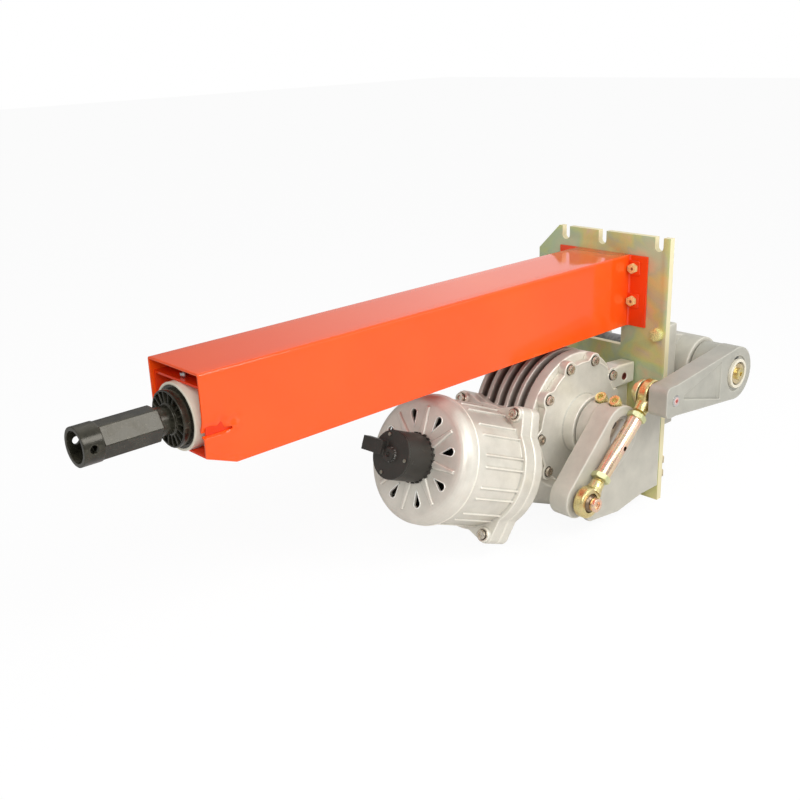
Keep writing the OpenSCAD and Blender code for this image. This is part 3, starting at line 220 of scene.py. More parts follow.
def paint_orange(name, shade=1.0, green=0.098, specular=0.42):
    """Glossy orange paint with a faint orange peel and a few dust grains."""
    m, nt, bsdf, coord = start_material(name)
    cloud = noise(nt, coord, 6, 2)
    base = ramp(nt, cloud, [
        (0.2, (0.95 * shade, green * 0.84 * shade, 0.006 * shade)),
        (0.8, (1.00 * shade, green * 1.16 * shade, 0.010 * shade))])
    dust = noise(nt, coord, 900, 2)
    base = mix(nt, remap(nt, dust, 0.0, 0.4, 0.76, 0.82), base, (0.98, 0.40, 0.24))
    nt.links.new(base, bsdf.inputs["Base Color"])
    nt.links.new(remap(nt, cloud, 0.07, 0.12, 0.0, 1.0), bsdf.inputs["Roughness"])
    surface(bsdf, specular=specular)
    bump(nt, bsdf, [(noise(nt, coord, 220, 2), 0.00002)])
    return m


def cast_paint(name, low, high, metallic, rough, groove_shade=None, grain=0.00008):
    """Silver or grey paint over a casting: grain and soft clouds, convex edges paler as worn paint and
    painted highlight, creases darker as painted shade, and with a groove colour the painted shade between
    the gearbox fins.
    """
    m, nt, bsdf, coord = start_material(name)
    cloud = noise(nt, coord, 28, 4, 0.6)
    base = ramp(nt, cloud, [(0.35, low), (0.65, high)])
    speck = noise(nt, coord, 1400, 2)
    base = mix(nt, remap(nt, speck, 0.0, 0.35, 0.55, 0.8), base, tuple(min(1, c * 1.25) for c in high))
    # convex edges made paler: worn paint and a painted highlight along every convex edge
    pale = tuple(min(1.0, c * 1.22 + 0.03) for c in high)
    base = mix(nt, edges(nt), base, pale)
    # concave creases darkened towards brown: painted shade
    crease_shade = edges(nt, 0.49, 0.44)
    base = mix(nt, crease_shade, base, tuple(c * 0.55 for c in low))
    if groove_shade:
        # painted shade between the gearbox fins behind the cover: brown-grey inside radius 101, darkest at
        # the groove bottoms inside radius 91
        depth = part_of(nt, coord, "Y")
        behind = remap(nt, depth, 1.0, 0.0, FIN_END * MM, (FIN_END + 4) * MM)
        fin_shade_mask = calc(nt, "MULTIPLY", behind, near_axis(nt, coord, OUT_X, OUT_Z, 103, 101))
        base = mix(nt, fin_shade_mask, base, mix(nt, cloud, (0.50, 0.45, 0.395), (0.66, 0.61, 0.55)))
        off_face = remap(nt, depth, 0.0, 1.0, (GEARBOX_BACK + 2) * MM, (GEARBOX_BACK + 4) * MM)
        groove_shade_mask = calc(nt, "MULTIPLY", near_axis(nt, coord, OUT_X, OUT_Z, 99, 91),
                      calc(nt, "MULTIPLY", behind, off_face))
        base = mix(nt, groove_shade_mask, base, mix(nt, cloud, groove_shade, tuple(c * 0.5 for c in groove_shade)))
    nt.links.new(base, bsdf.inputs["Base Color"])
    nt.links.new(remap(nt, cloud, rough - 0.05, rough + 0.08), bsdf.inputs["Roughness"])
    surface(bsdf, metallic=metallic, specular=0.5)
    bump(nt, bsdf, [(noise(nt, coord, 700, 3), grain), (noise(nt, coord, 60, 2), 0.0003)])
    return m


def plated(name, stops, rough=(0.22, 0.36), scale=22, stretch=(1, 1, 1), scratches=0.00004,
           metallic=1.0, painted_edge_highlight=None):
    """Passivated zinc: a thin film that drifts between tints, over ground metal."""
    m, nt, bsdf, coord = start_material(name)
    cloud = noise(nt, coord, scale, 3, 0.5, stretch, 0.6)
    base = ramp(nt, cloud, stops)
    fine = noise(nt, coord, 600, 3)
    base = mix(nt, remap(nt, fine, 0.0, 0.25, 0.5, 0.75), base, tuple(c * 0.6 for c in stops[0][1]))
    # faces that do not face along X, the plate's edges, get a paler yellow: painted highlight
    if painted_edge_highlight:
        normal = nt.nodes.new("ShaderNodeNewGeometry").outputs["Normal"]
        edge_facing = calc(nt, "ABSOLUTE", part_of(nt, normal, "X"))
        base = mix(nt, remap(nt, edge_facing, 1.0, 0.0, 0.3, 0.9), base, painted_edge_highlight)
    nt.links.new(base, bsdf.inputs["Base Color"])
    nt.links.new(remap(nt, fine, *rough), bsdf.inputs["Roughness"])
    surface(bsdf, metallic=metallic)
    bump(nt, bsdf, [(fine, scratches)])
    return m


def metal(name, low, high, rough, stretch=(1, 1, 1), scale=180):
    m, nt, bsdf, coord = start_material(name)
    grain = noise(nt, coord, scale, 3, 0.6, stretch)
    nt.links.new(ramp(nt, grain, [(0.3, low), (0.7, high)]), bsdf.inputs["Base Color"])
    nt.links.new(remap(nt, grain, rough - 0.05, rough + 0.1), bsdf.inputs["Roughness"])
    surface(bsdf, metallic=1.0)
    bump(nt, bsdf, [(grain, 0.00003)])
    return m


def plastic(name, low, high, rough, scuff=None, specular=0.5, grain=0.00005, scuff_from=0.60):
    m, nt, bsdf, coord = start_material(name)
    cloud = noise(nt, coord, 45, 4, 0.65)
    base = ramp(nt, cloud, [(0.35, low), (0.65, high)])
    if scuff:
        rub = noise(nt, coord, 160, 5, 0.75, (1, 2.5, 1), 1.5)
        base = mix(nt, remap(nt, rub, 0.0, 0.8, scuff_from, scuff_from + 0.12), base, scuff)
    nt.links.new(base, bsdf.inputs["Base Color"])
    nt.links.new(remap(nt, cloud, rough - 0.07, rough + 0.1), bsdf.inputs["Roughness"])
    surface(bsdf, specular=specular)
    bsdf.inputs["Specular Tint"].default_value = (1.0, 0.95, 0.84, 1)
    bump(nt, bsdf, [(noise(nt, coord, 1100, 2), grain), (noise(nt, coord, 90, 2), 0.00012)])
    return m


MATERIALS = {
    "zinc_plate": plated("zinc_plate", [
        (0.28, (0.60, 0.55, 0.47)), (0.38, (0.70, 0.60, 0.32)), (0.45, (0.68, 0.65, 0.26)),
        (0.52, (0.58, 0.66, 0.29)), (0.59, (0.50, 0.61, 0.38)), (0.66, (0.60, 0.61, 0.38)),
        (0.74, (0.70, 0.54, 0.34))],
        (0.40, 0.52), 17, metallic=0.30, painted_edge_highlight=(0.86, 0.78, 0.50)),
    "orange_paint": paint_orange("orange_paint"),
    "zinc_screws": plated("zinc_screws", [
        (0.3, (0.60, 0.46, 0.26)), (0.5, (0.76, 0.64, 0.36)), (0.7, (0.72, 0.52, 0.36))],
        (0.22, 0.34), 120, metallic=0.9),
    "cream_nylon": plastic("cream_nylon", (0.74, 0.69, 0.55), (0.82, 0.77, 0.65), 0.42),
    "black_nylon": plastic("black_nylon", (0.009, 0.009, 0.006), (0.042, 0.039, 0.027), 0.22,
                           (0.15, 0.135, 0.10)),
    "bearing_steel": metal("bearing_steel", (0.50, 0.50, 0.49), (0.70, 0.70, 0.68), 0.26),
    # the last colour is the painted shade at the bottoms of the gearbox fin grooves
    "cast_aluminium": cast_paint("cast_aluminium", (0.655, 0.625, 0.545), (0.775, 0.742, 0.655),
                                 0.32, 0.36, (0.23, 0.185, 0.155)),
    "grey_casting": cast_paint("grey_casting", (0.48, 0.46, 0.395), (0.565, 0.54, 0.465), 0.05, 0.38),
    "dark_steel": metal("dark_steel", (0.10, 0.10, 0.10), (0.24, 0.24, 0.23), 0.34),
    "bronze": metal("bronze", (0.42, 0.24, 0.08), (0.62, 0.38, 0.15), 0.30),
    "rubber_seal": plastic("rubber_seal", (0.012, 0.012, 0.012), (0.03, 0.03, 0.03), 0.62),
    "copper_winding": metal("copper_winding", (0.42, 0.15, 0.06), (0.60, 0.26, 0.11), 0.30, (1, 1, 1), 900),
    "pink_zinc": plated("pink_zinc", [
        (0.3, (0.80, 0.50, 0.36)), (0.48, (0.88, 0.62, 0.48)), (0.6, (0.84, 0.66, 0.42)),
        (0.72, (0.80, 0.60, 0.52))], (0.20, 0.30), 45, (2, 1, 1), 0.00001),
    "pale_zinc": plated("pale_zinc", [
        (0.3, (0.62, 0.64, 0.32)), (0.55, (0.74, 0.74, 0.44)), (0.72, (0.80, 0.72, 0.46))],
        (0.28, 0.40), 70, metallic=0.8),
    "black_plastic": plastic("black_plastic", (0.018, 0.017, 0.015), (0.032, 0.030, 0.027), 0.42,
                             (0.10, 0.095, 0.085)),
    "white_plastic": plastic("white_plastic", (0.70, 0.70, 0.68), (0.80, 0.80, 0.78), 0.35),
}
GOLD = plated("gold_forging", [
    (0.3, (0.64, 0.48, 0.22)), (0.5, (0.74, 0.64, 0.30)), (0.7, (0.72, 0.58, 0.36))], (0.24, 0.36), 60)
SCREW_SILVER = plated("screw_silver", [
    (0.3, (0.50, 0.44, 0.36)), (0.5, (0.72, 0.66, 0.56)), (0.7, (0.74, 0.58, 0.50))],
    (0.20, 0.32), 140, metallic=0.9)
# a paler copy of the cast aluminium paint for the vent rim beads: painted highlight
HIGHLIT_RIM_PAINT = cast_paint("rims_painted_highlight", (0.70, 0.68, 0.61), (0.82, 0.80, 0.74), 0.3, 0.30)
# a darker, redder copy of the orange paint for the surfaces inside the beam: painted shade
SHADED_INNER_ORANGE = paint_orange("inner_orange_painted_shade", 0.80, 0.058, 0.25)
# a darker copy of the orange paint for the ears, their folds and pads, which are lit less: painted shade
SHADED_EAR_ORANGE = paint_orange("ear_orange_painted_shade", 0.90, 0.066, 0.40)
RED_MARK = plastic("red_mark", (0.34, 0.03, 0.03), (0.50, 0.06, 0.05), 0.5)
PINK_MARK = plastic("pink_mark", (0.62, 0.42, 0.38), (0.70, 0.50, 0.46), 0.5)
# a dark finish for sheets laid where a gap or recess would be in shade: painted shade
PAINTED_SHADE_GAP = plastic("painted_shade_gap", (0.030, 0.024, 0.018), (0.055, 0.044, 0.034), 0.6, specular=0.2)
BALL_STEEL = metal("ball_steel", (0.16, 0.11, 0.07), (0.30, 0.22, 0.15), 0.28)
TURNED_END = metal("turned_end", (0.52, 0.50, 0.45), (0.64, 0.62, 0.56), 0.42)
# a darker copy of the grey casting paint for the lever, which the lamps light strongly: painted shade
SHADED_LEVER_PAINT = cast_paint("lever_paint_painted_shade", (0.37, 0.36, 0.31), (0.445, 0.435, 0.375), 0.05, 0.38)
YELLOW_ZINC = plated("yellow_zinc", [
    (0.3, (0.66, 0.58, 0.22)), (0.5, (0.80, 0.72, 0.32)), (0.7, (0.76, 0.60, 0.34))], (0.22, 0.34), 90,
    metallic=0.7)
BRASS_BOLT = plated("brass_bolt", [
    (0.3, (0.70, 0.62, 0.22)), (0.5, (0.84, 0.80, 0.36)), (0.7, (0.78, 0.70, 0.30))], (0.22, 0.32), 60,
    metallic=0.40)
# a reddish rust tone for bores, darkened as painted shade
RUSTY_SHADED_BORE = plastic("rust_and_shade_bore", (0.10, 0.022, 0.014), (0.24, 0.07, 0.05), 0.5)
SCUFFED_BOSS = plastic("scuffed_boss", (0.008, 0.008, 0.007), (0.03, 0.03, 0.027), 0.16,
                       (0.42, 0.41, 0.38), scuff_from=0.47)
ENCODER_SCREW = metal("encoder_screw", (0.26, 0.25, 0.20), (0.42, 0.40, 0.33), 0.45)

for name, node in NODES.items():
    node.data.materials.clear()
    node.data.materials.append(MATERIALS[SLOT_OF[name]])


# Mesh helpers

def piece(name, mesh, body, material, replaces=(), sharp=40):
    """Adds a finished mesh as a piece on its body."""
    clear_normals(mesh)
    mesh.materials.clear()
    mesh.materials.append(material)
    mesh.shade_smooth()
    if sharp:
        mesh.set_sharp_from_angle(angle=math.radians(sharp))
    o = bpy.data.objects.new(name, mesh)
    bpy.context.scene.collection.objects.link(o)
    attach(o, body)
    if replaces:
        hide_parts(*replaces)
    return o


def clear_normals(mesh):
    if "custom_normal" in mesh.attributes:
        mesh.attributes.remove(mesh.attributes["custom_normal"])


def joined(bms):
    out = bmesh.new()
    for b in bms:
        m = bpy.data.meshes.new("part")
        b.to_mesh(m)
        b.free()
        out.from_mesh(m)
        bpy.data.meshes.remove(m)
    return out


def to_mesh(bm, name="mesh"):
    bmesh.ops.recalc_face_normals(bm, faces=bm.faces)
    mesh = bpy.data.meshes.new(name)
    bm.to_mesh(mesh)
    bm.free()
    return mesh


def cad_bmesh(*nodes):
    """Welded copy of the CAD nodes' meshes with flat areas joined."""
    bm = bmesh.new()
    for n in nodes:
        bm.from_mesh(NODES[n].data)
    bmesh.ops.remove_doubles(bm, verts=bm.verts, dist=1e-6)
    bmesh.ops.dissolve_limit(bm, angle_limit=math.radians(0.5), verts=bm.verts, edges=bm.edges)
    return bm


def through(mesh, *modifiers):
    """The mesh after a chain of modifiers: (type, settings)."""
    o = bpy.data.objects.new("work", mesh)
    bpy.context.scene.collection.objects.link(o)
    for kind, settings in modifiers:
        mod = o.modifiers.new(kind.lower(), kind)
        for key, value in settings.items():
            setattr(mod, key, value)
    out = bpy.data.meshes.new_from_object(o.evaluated_get(bpy.context.evaluated_depsgraph_get()))
    bpy.data.objects.remove(o)
    bpy.data.meshes.remove(mesh)
    return out


def rounded(mesh, width, segments=2, angle=32):
    return through(mesh, ("BEVEL", {
        "width": width * MM, "segments": segments, "limit_method": "ANGLE",
        "angle_limit": math.radians(angle), "harden_normals": False, "miter_outer": "MITER_ARC"}))


def cast(mesh, voxel, passes=6, keep=1.0):
    """Melts edges and corners as in a casting."""
    steps = [
        ("REMESH", {"mode": "VOXEL", "voxel_size": voxel * MM, "use_smooth_shade": True}),
        ("SMOOTH", {"factor": 0.5, "iterations": passes}),
    ]
    if keep < 1:
        steps.append(("DECIMATE", {"ratio": keep}))
    return through(mesh, *steps)


def dressed(node, width=0.5, segments=2, material=None, angle=32):
    """A CAD node with broken edges, in its own slot's finish."""
    mesh = rounded(to_mesh(cad_bmesh(node)), width, segments, angle)
    return piece(node + "_finish", mesh, BODY_OF[node], material or MATERIALS[SLOT_OF[node]],
                 [node])


def casting(node, voxel, passes=6, keep=1.0, extra=(), material=None, cutters=()):
    """A CAD node, with extra closed shapes cut out of it or grown onto it, as one casting."""
    bm = cad_bmesh(node)
    if cutters:
        mesh = cut(to_mesh(bm), *cutters)
        bm = bmesh.new()
        bm.from_mesh(mesh)
    mesh = cast(to_mesh(joined([bm, *extra])), voxel, passes, keep)
    return piece(node + "_casting", mesh, BODY_OF[node], material or MATERIALS[SLOT_OF[node]],
                 [node], 0)


def frame_matrix(origin, x, y, z):
    m = Matrix.Identity(4)
    for i, axis in enumerate((x, y, z)):
        for j in range(3):
            m[j][i] = axis[j]
    for j in range(3):
        m[j][3] = origin[j] * MM
    return m


MOTOR = frame_matrix(MOTOR_FOOT, (math.sin(TILT), 0, -math.cos(TILT)), (0, 1, 0),
                     (math.cos(TILT), 0, math.sin(TILT)))
ROD = frame_matrix((PIN_X, ROD_Y, PIN_Z), (math.cos(ROD_ANGLE), 0, math.sin(ROD_ANGLE)), (0, 1, 0),
                   (-math.sin(ROD_ANGLE), 0, math.cos(ROD_ANGLE)))
ROD_TOP = frame_matrix((TOP_X, ROD_Y, TOP_Z), (-math.cos(ROD_ANGLE), 0, -math.sin(ROD_ANGLE)), (0, 1, 0),
                       (math.sin(ROD_ANGLE), 0, -math.cos(ROD_ANGLE)))
ALONG_X = Matrix(((0, 0, 1, 0), (0, 1, 0, 0), (-1, 0, 0, 0), (0, 0, 0, 1)))
ALONG_Y = Matrix(((1, 0, 0, 0), (0, 0, 1, 0), (0, -1, 0, 0), (0, 0, 0, 1)))


def at(x, y, z):
    return Matrix.Translation((x * MM, y * MM, z * MM))


def lathe(profile, matrix, steps=64, closed=False):
    """Turns (radius, height) points round Z. A point at radius 0 closes the end."""
    bm = bmesh.new()
    rings = []
    for r, h in profile:
        if r < 1e-6:
            rings.append([bm.verts.new((0, 0, h * MM))] * steps)
        else:
            rings.append([bm.verts.new((r * MM * math.cos(2 * math.pi * i / steps),
                                        r * MM * math.sin(2 * math.pi * i / steps), h * MM))
                          for i in range(steps)])
    pairs = list(zip(rings, rings[1:]))
    if closed:
        pairs.append((rings[-1], rings[0]))
    for a, b in pairs:
        for i in range(steps):
            j = (i + 1) % steps
            corners = []
            for v in (a[i], a[j], b[j], b[i]):
                if v not in corners:
                    corners.append(v)
            if len(corners) > 2:
                bm.faces.new(corners)
    bm.transform(matrix)
    return bm


def block(x0, x1, y0, y1, z0, z1, matrix=None):
    bm = bmesh.new()
    bmesh.ops.create_cube(bm, size=1)
    scale = Matrix.Diagonal(((x1 - x0) * MM, (y1 - y0) * MM, (z1 - z0) * MM, 1))
    bm.transform(at((x0 + x1) / 2, (y0 + y1) / 2, (z0 + z1) / 2) @ scale)
    if matrix is not None:
        bm.transform(matrix)
    return bm


def prism(points, h0, h1, matrix):
    """An outline of (x, y) points pulled out along Z."""
    bm = bmesh.new()
    low = [bm.verts.new((x * MM, y * MM, h0 * MM)) for x, y in points]
    high = [bm.verts.new((x * MM, y * MM, h1 * MM)) for x, y in points]
    bm.faces.new(low)
    bm.faces.new(high)
    for i in range(len(points)):
        j = (i + 1) % len(points)
        bm.faces.new((low[i], low[j], high[j], high[i]))
    bm.transform(matrix)
    return bm


def tube(points, radius, closed=False, sides=10):
    """A round bead along points in millimetres."""
    bm = bmesh.new()
    pts = [Vector(p) * MM for p in points]
    count = len(pts)
    rings = []
    side = None
    for i, p in enumerate(pts):
        before = pts[(i - 1) % count] if closed or i else p
        after = pts[(i + 1) % count] if closed or i < count - 1 else p
        t = (after - before).normalized()
        if side is None:
            side = t.orthogonal().normalized()
        side = (side - t * side.dot(t)).normalized()
        other = t.cross(side)
        rings.append([bm.verts.new(p + radius * MM * (math.cos(a) * side + math.sin(a) * other))
                      for a in [2 * math.pi * k / sides for k in range(sides)]])
    span = count if closed else count - 1
    for i in range(span):
        a, b = rings[i], rings[(i + 1) % count]
        for k in range(sides):
            bm.faces.new((a[k], a[(k + 1) % sides], b[(k + 1) % sides], b[k]))
    if not closed:
        bm.faces.new(rings[0])
        bm.faces.new(rings[-1])
    return bm


def flats_reach(flats, a):
    """How far a hexagon reaches at a turn."""
    return flats / 2 / math.cos((a % (math.pi / 3)) - math.pi / 6)


def stack(levels, loop, matrix, steps=96):
    """Rings round Z, each with its radius and height as functions of the turn."""
    bm = bmesh.new()
    turns = [2 * math.pi * i / steps for i in range(steps)]
    rings = [[bm.verts.new((radius(a) * MM * math.cos(a), radius(a) * MM * math.sin(a), height(a) * MM))
              for a in turns] for radius, height in levels]
    spans = list(zip(rings, rings[1:]))
    if loop:
        spans.append((rings[-1], rings[0]))
    else:
        bm.faces.new(rings[0])
        bm.faces.new(rings[-1])
    for a, b in spans:
        for i in range(steps):
            j = (i + 1) % steps
            bm.faces.new((a[i], a[j], b[j], b[i]))
    bm.transform(matrix)
    return bm


def hexagon(flats, h0, h1, bore, matrix):
    """A nut or bolt head with chamfered corners, round Z."""
    circle = flats / 2 * 0.96
    slope = math.tan(math.radians(30))

    def fall(a):
        return (flats_reach(flats, a) - circle) * slope

    levels = [(lambda a: circle, lambda a: h0), (lambda a: flats_reach(flats, a), lambda a: h0 + fall(a)),
              (lambda a: flats_reach(flats, a), lambda a: h1 - fall(a)), (lambda a: circle, lambda a: h1)]
    if bore:
        levels = [(lambda a: bore, lambda a: h0)] + levels + [(lambda a: bore, lambda a: h1)]
    return stack(levels, bool(bore), matrix)


def cap_head(radius, height, flats, depth, matrix):
    """A socket screw's head that stands on Z = 0."""
    plain = [(radius, 0), (radius, height - 0.9), (radius - 0.25, height - 0.25), (radius - 0.9, height)]
    levels = [(lambda a, r=r: r, lambda a, h=h: h) for r, h in plain]
    levels += [(lambda a, w=w: flats_reach(flats + w, a), lambda a, h=h: h)
               for w, h in ((0.8, height), (0, height - 0.4), (0, height - depth))]
    return stack(levels, False, matrix)


def loft(low, high, matrix):
    """A solid between two outlines of as many (x, y, z) points."""
    bm = bmesh.new()
    a = [bm.verts.new(Vector(p) * MM) for p in low]
    b = [bm.verts.new(Vector(p) * MM) for p in high]
    bm.faces.new(a)
    bm.faces.new(b)
    for i in range(len(a)):
        j = (i + 1) % len(a)
        bm.faces.new((a[i], a[j], b[j], b[i]))
    bm.transform(matrix)
    return bm


def flat_ring(inner, outer, h0, h1, matrix, steps=48):
    """A washer with broken edges, round Z."""
    e = min(0.3, (h1 - h0) / 3)
    return lathe([(inner, h0), (outer, h0), (outer, h1 - e), (outer - e, h1), (inner + e, h1),
                  (inner, h1 - e)], matrix, steps, True)


def cut(mesh, *cutters):
    """Takes closed shapes away from a mesh."""
    tool = bpy.data.objects.new("cutter", to_mesh(joined(cutters)))
    bpy.context.scene.collection.objects.link(tool)
    out = through(mesh, ("BOOLEAN", {"operation": "DIFFERENCE", "object": tool, "solver": "EXACT"}))
    bpy.data.objects.remove(tool)
    return out


def smoothstep(t):
    t = max(0.0, min(1.0, t))
    return t * t * (3 - 2 * t)


# Box beam: folded channel with the pressed tab at its mouth, floor, ears with their folds and pads

BEAM_BACK, HALF_W, TOP_Z_BEAM, SKIRT_Z, SHEET, FOLD_R = 10.0, 48.0, 45.0, -59.0, 2.5, 3.2
SLIT_LOW, SLIT_HIGH, SLIT_LEN = -21.4, -18.4, 35.0
SKIRT_CUT = 36.0
FLOOR_Z = -45.0
# Dents at the slit's inner end: place from the mouth, height, size, depth
CRUMPLES = [(-39, -18, 3.2, 1.7), (-34, -12, 3.0, -1.5), (-28, -14.5, 2.4, 1.5), (-23, -9, 3.0, -1.2),
            (-31, -7.5, 2.4, 1.1), (-17, -13, 2.4, 1.0), (-42, -11, 2.8, -1.0), (-12, -8, 3.0, 0.6)]


def channel():
    fine = MOUTH_X - 70
    xs = [BEAM_BACK + i * (fine - BEAM_BACK) / 14 for i in range(14)]
    xs += [fine + i * 2.0 for i in range(36)]
    near = [SKIRT_Z + i * 2.0 for i in range(7)]
    near += [FLOOR_Z + i * (SLIT_LOW - FLOOR_Z) / 12 for i in range(13)]
    near += [SLIT_HIGH + i * (0.0 - SLIT_HIGH) / 9 for i in range(10)]
    near += [8.0, 20.0, 32.0]
    path = [(HALF_W, z) for z in near]
    corner = TOP_Z_BEAM - FOLD_R
    path += [(HALF_W - FOLD_R + FOLD_R * math.cos(a), corner + FOLD_R * math.sin(a))
             for a in [math.pi / 2 * k / 6 for k in range(7)]]
    path += [(y, TOP_Z_BEAM) for y in (30.0, 15.0, 0.0, -15.0, -30.0)]
    path += [(FOLD_R - HALF_W - FOLD_R * math.sin(a), corner + FOLD_R * math.cos(a))
             for a in [math.pi / 2 * k / 6 for k in range(7)]]
    path += [(-HALF_W, z) for z in (30.0, 0.0, -30.0, FLOOR_Z, SKIRT_Z)]
    slit_row = near.index(SLIT_HIGH) - 1
    bm = bmesh.new()
    grid = []
    for y, z in path:
        row = []
        end = MOUTH_X
        if z < FLOOR_Z:
            end -= SKIRT_CUT * (FLOOR_Z - z) / (FLOOR_Z - SKIRT_Z)
        for x in xs:
            share = max(0.0, (x - fine) / (MOUTH_X - fine))
            px = x + share * (end - MOUTH_X)
            py = y
            if y == HALF_W and z < 10:
                open_part = smoothstep((px - MOUTH_X + SLIT_LEN) / 14)
                if z <= SLIT_LOW:
                    py += 0.9 * open_part * smoothstep((z + 56) / 26)
                else:
                    py -= 4.6 * open_part * math.exp(-((z - SLIT_HIGH) / 8) ** 2)
                for bx, bz, size, height in CRUMPLES:
                    dx, dz = px - MOUTH_X - bx, z - bz
                    py += height * math.exp(-(dx * dx + dz * dz) / (2 * size * size))
            row.append(bm.verts.new((px * MM, py * MM, z * MM)))
        grid.append(row)
    for r in range(len(grid) - 1):
        for c in range(len(xs) - 1):
            if r == slit_row and xs[c] >= MOUTH_X - SLIT_LEN - 0.5:
                continue
            bm.faces.new((grid[r][c], grid[r][c + 1], grid[r + 1][c + 1], grid[r + 1][c]))
    bm.normal_update()
    mesh = bpy.data.meshes.new("channel")
    flip = any(f.normal.y < 0 for f in bm.faces if abs(f.calc_center_median().y - HALF_W * MM) < 1e-5)
    if flip:
        bmesh.ops.reverse_faces(bm, faces=bm.faces)
    bm.to_mesh(mesh)
    bm.free()
    mesh = through(mesh, ("SOLIDIFY", {"thickness": SHEET * MM, "offset": -1.0, "use_even_offset": True}))
    return rounded(mesh, 0.45, 2, 60)


piece("beam_channel", channel(), "frame", MATERIALS["orange_paint"],
      ["beam_housing"], 50)
floor_mesh = rounded(to_mesh(block(BEAM_BACK + SHEET, MOUTH_X, SHEET - HALF_W, HALF_W - SHEET,
                                   FLOOR_Z, FLOOR_Z + SHEET)), 0.4)
sleeve_room = lathe([(0, 0), (37.3, 0), (37.3, 145), (0, 145)], at(MOUTH_X - 140, 0, PLUG_Z) @ ALONG_X)
floor_mesh = cut(floor_mesh, sleeve_room)
# the floor inside the beam in the orange with painted shade
piece("beam_floor", floor_mesh, "frame", SHADED_INNER_ORANGE)
EAR_Y = HALF_W + 30
for side, label in ((1, "near"), (-1, "far")):
    ear = block(BEAM_BACK, BEAM_BACK + SHEET, min(side * (HALF_W - SHEET), side * EAR_Y),
                max(side * (HALF_W - SHEET), side * EAR_Y), SKIRT_Z, TOP_Z_BEAM)
    # the ears, folds and pads take the orange with painted shade
    piece("beam_ear_" + label, rounded(to_mesh(ear), 0.6, 3), "frame", SHADED_EAR_ORANGE)
    radius = 3.0
    arc = [(radius - radius * math.sin(a), radius - radius * math.cos(a))
           for a in [math.pi / 2 * k / 6 for k in range(7)]]
    outline = [(-0.4, -0.4), *arc]
    fold = prism([(BEAM_BACK + SHEET + u, side * (HALF_W + v)) for u, v in outline],
                 SKIRT_Z, TOP_Z_BEAM - 0.5, Matrix.Identity(4))
    piece("beam_fold_" + label, to_mesh(fold), "frame", SHADED_EAR_ORANGE, (), 50)
    for z in EAR_BOLT_Z:
        corners = [(u + 3.2 * math.cos(t), v + 3.2 * math.sin(t))
                   for u, v, start in ((7.6, 6.0, 0), (-7.6, 6.0, 1), (-7.6, -6.0, 2), (7.6, -6.0, 3))
                   for t in [math.pi / 2 * (start + k / 5) for k in range(6)]]
        pad = prism(corners, 0, 2.3, at(BEAM_BACK + SHEET, side * (HALF_W + EAR_BOLT_OUT), z) @ ALONG_X)
        piece("ear_pad_%s_%s" % (label, "top" if z > 0 else "low"), rounded(to_mesh(pad), 0.9, 3),
              "frame", SHADED_EAR_ORANGE, (), 50)

# Sleeve, shelf, plug

# the shelf inside the mouth in the orange with painted shade
dressed("sleeve_bracket", 0.8, 3, SHADED_INNER_ORANGE)
dressed("bearing_sleeve", 0.9, 3)
dressed("bracket_screw", 0.4, 2)
piece("coupling_plug_moulded", cast(to_mesh(cad_bmesh("coupling_plug")), 0.55, 3, 0.5), "coupling",
      MATERIALS["black_nylon"], ["coupling_plug"], 0)

# Castings

casting("gearbox_housing", 1.4, 6, 0.35)


def cover_line():
    """The scalloped edge of the gearbox cover as a raised bead, up to its lug on both sides."""
    reach = []
    for i in range(720):
        d = math.radians((i / 2 + 18) % 36 - 18)
        lobe = COVER_CIRCLE * math.sin(d)
        bulge = math.sqrt(max(0.0, SCREW_LOBE ** 2 - lobe ** 2))
        reach.append(max(COVER_CIRCLE, COVER_CIRCLE * math.cos(d) + bulge))
    pts = []
    for i in range(376, 988, 2):
        r = sum(reach[(i + k) % 720] for k in range(-4, 5)) / 9 - 0.8
        a = math.radians(i / 2)
        pts.append((OUT_X + r * math.cos(a), COVER_FACE, OUT_Z + r * math.sin(a)))
    return tube(pts, 1.3)


casting("gearbox_cover", 0.9, 4, 0.4, [cover_line()])
screw_places = [at(OUT_X + COVER_CIRCLE * math.cos(a), 0, OUT_Z + COVER_CIRCLE * math.sin(a)) @ ALONG_Y
                for a in [2 * math.pi * i / COVER_SCREWS for i in range(COVER_SCREWS)]]
# dark rings round the cover screw heads: painted shade of a recess
screw_shade_rings = [flat_ring(6.6, 7.8, COVER_FACE - 0.4, COVER_FACE + 0.25, m) for m in screw_places]
piece("cover_screw_painted_shade", to_mesh(joined(screw_shade_rings)), "frame", PAINTED_SHADE_GAP)
casting("motor_body", 1.0, 4, 0.35)
casting("crank_arm", 0.9, 8, 0.4)
slope = loft([(42, 185.0, -25.5), (42, 180.5, -25.5), (48, 180.5, -25.5)],
             [(42, 185.0, 25.5), (42, 180.5, 25.5), (54, 180.5, 25.5)], at(MAIN_X, 0, MAIN_Z))
tip = [(118, 7.9), (139, 2.6), (139, -2.6), (118, -7.9)]
tip_pocket = loft([(x, 181.0, z) for x, z in tip], [(x, 186.0, z) for x, z in tip], at(MAIN_X, 0, MAIN_Z))
# the lever in the darker paint with painted shade
casting("lever_arm", 0.8, 3, 0.4, [slope], SHADED_LEVER_PAINT, [tip_pocket])
casting("side_bracket", 1.1, 5, 0.35)
casting("right_bearing_housing", 1.4, 7, 0.35)
casting("left_bearing_housing", 1.4, 7, 0.35)


def in_motor(r, turn, z):
    """A motor place by radius, turn from the local x axis and height."""
    return MOTOR @ Vector((r * MM * math.cos(turn), r * MM * math.sin(turn), z * MM)) / MM


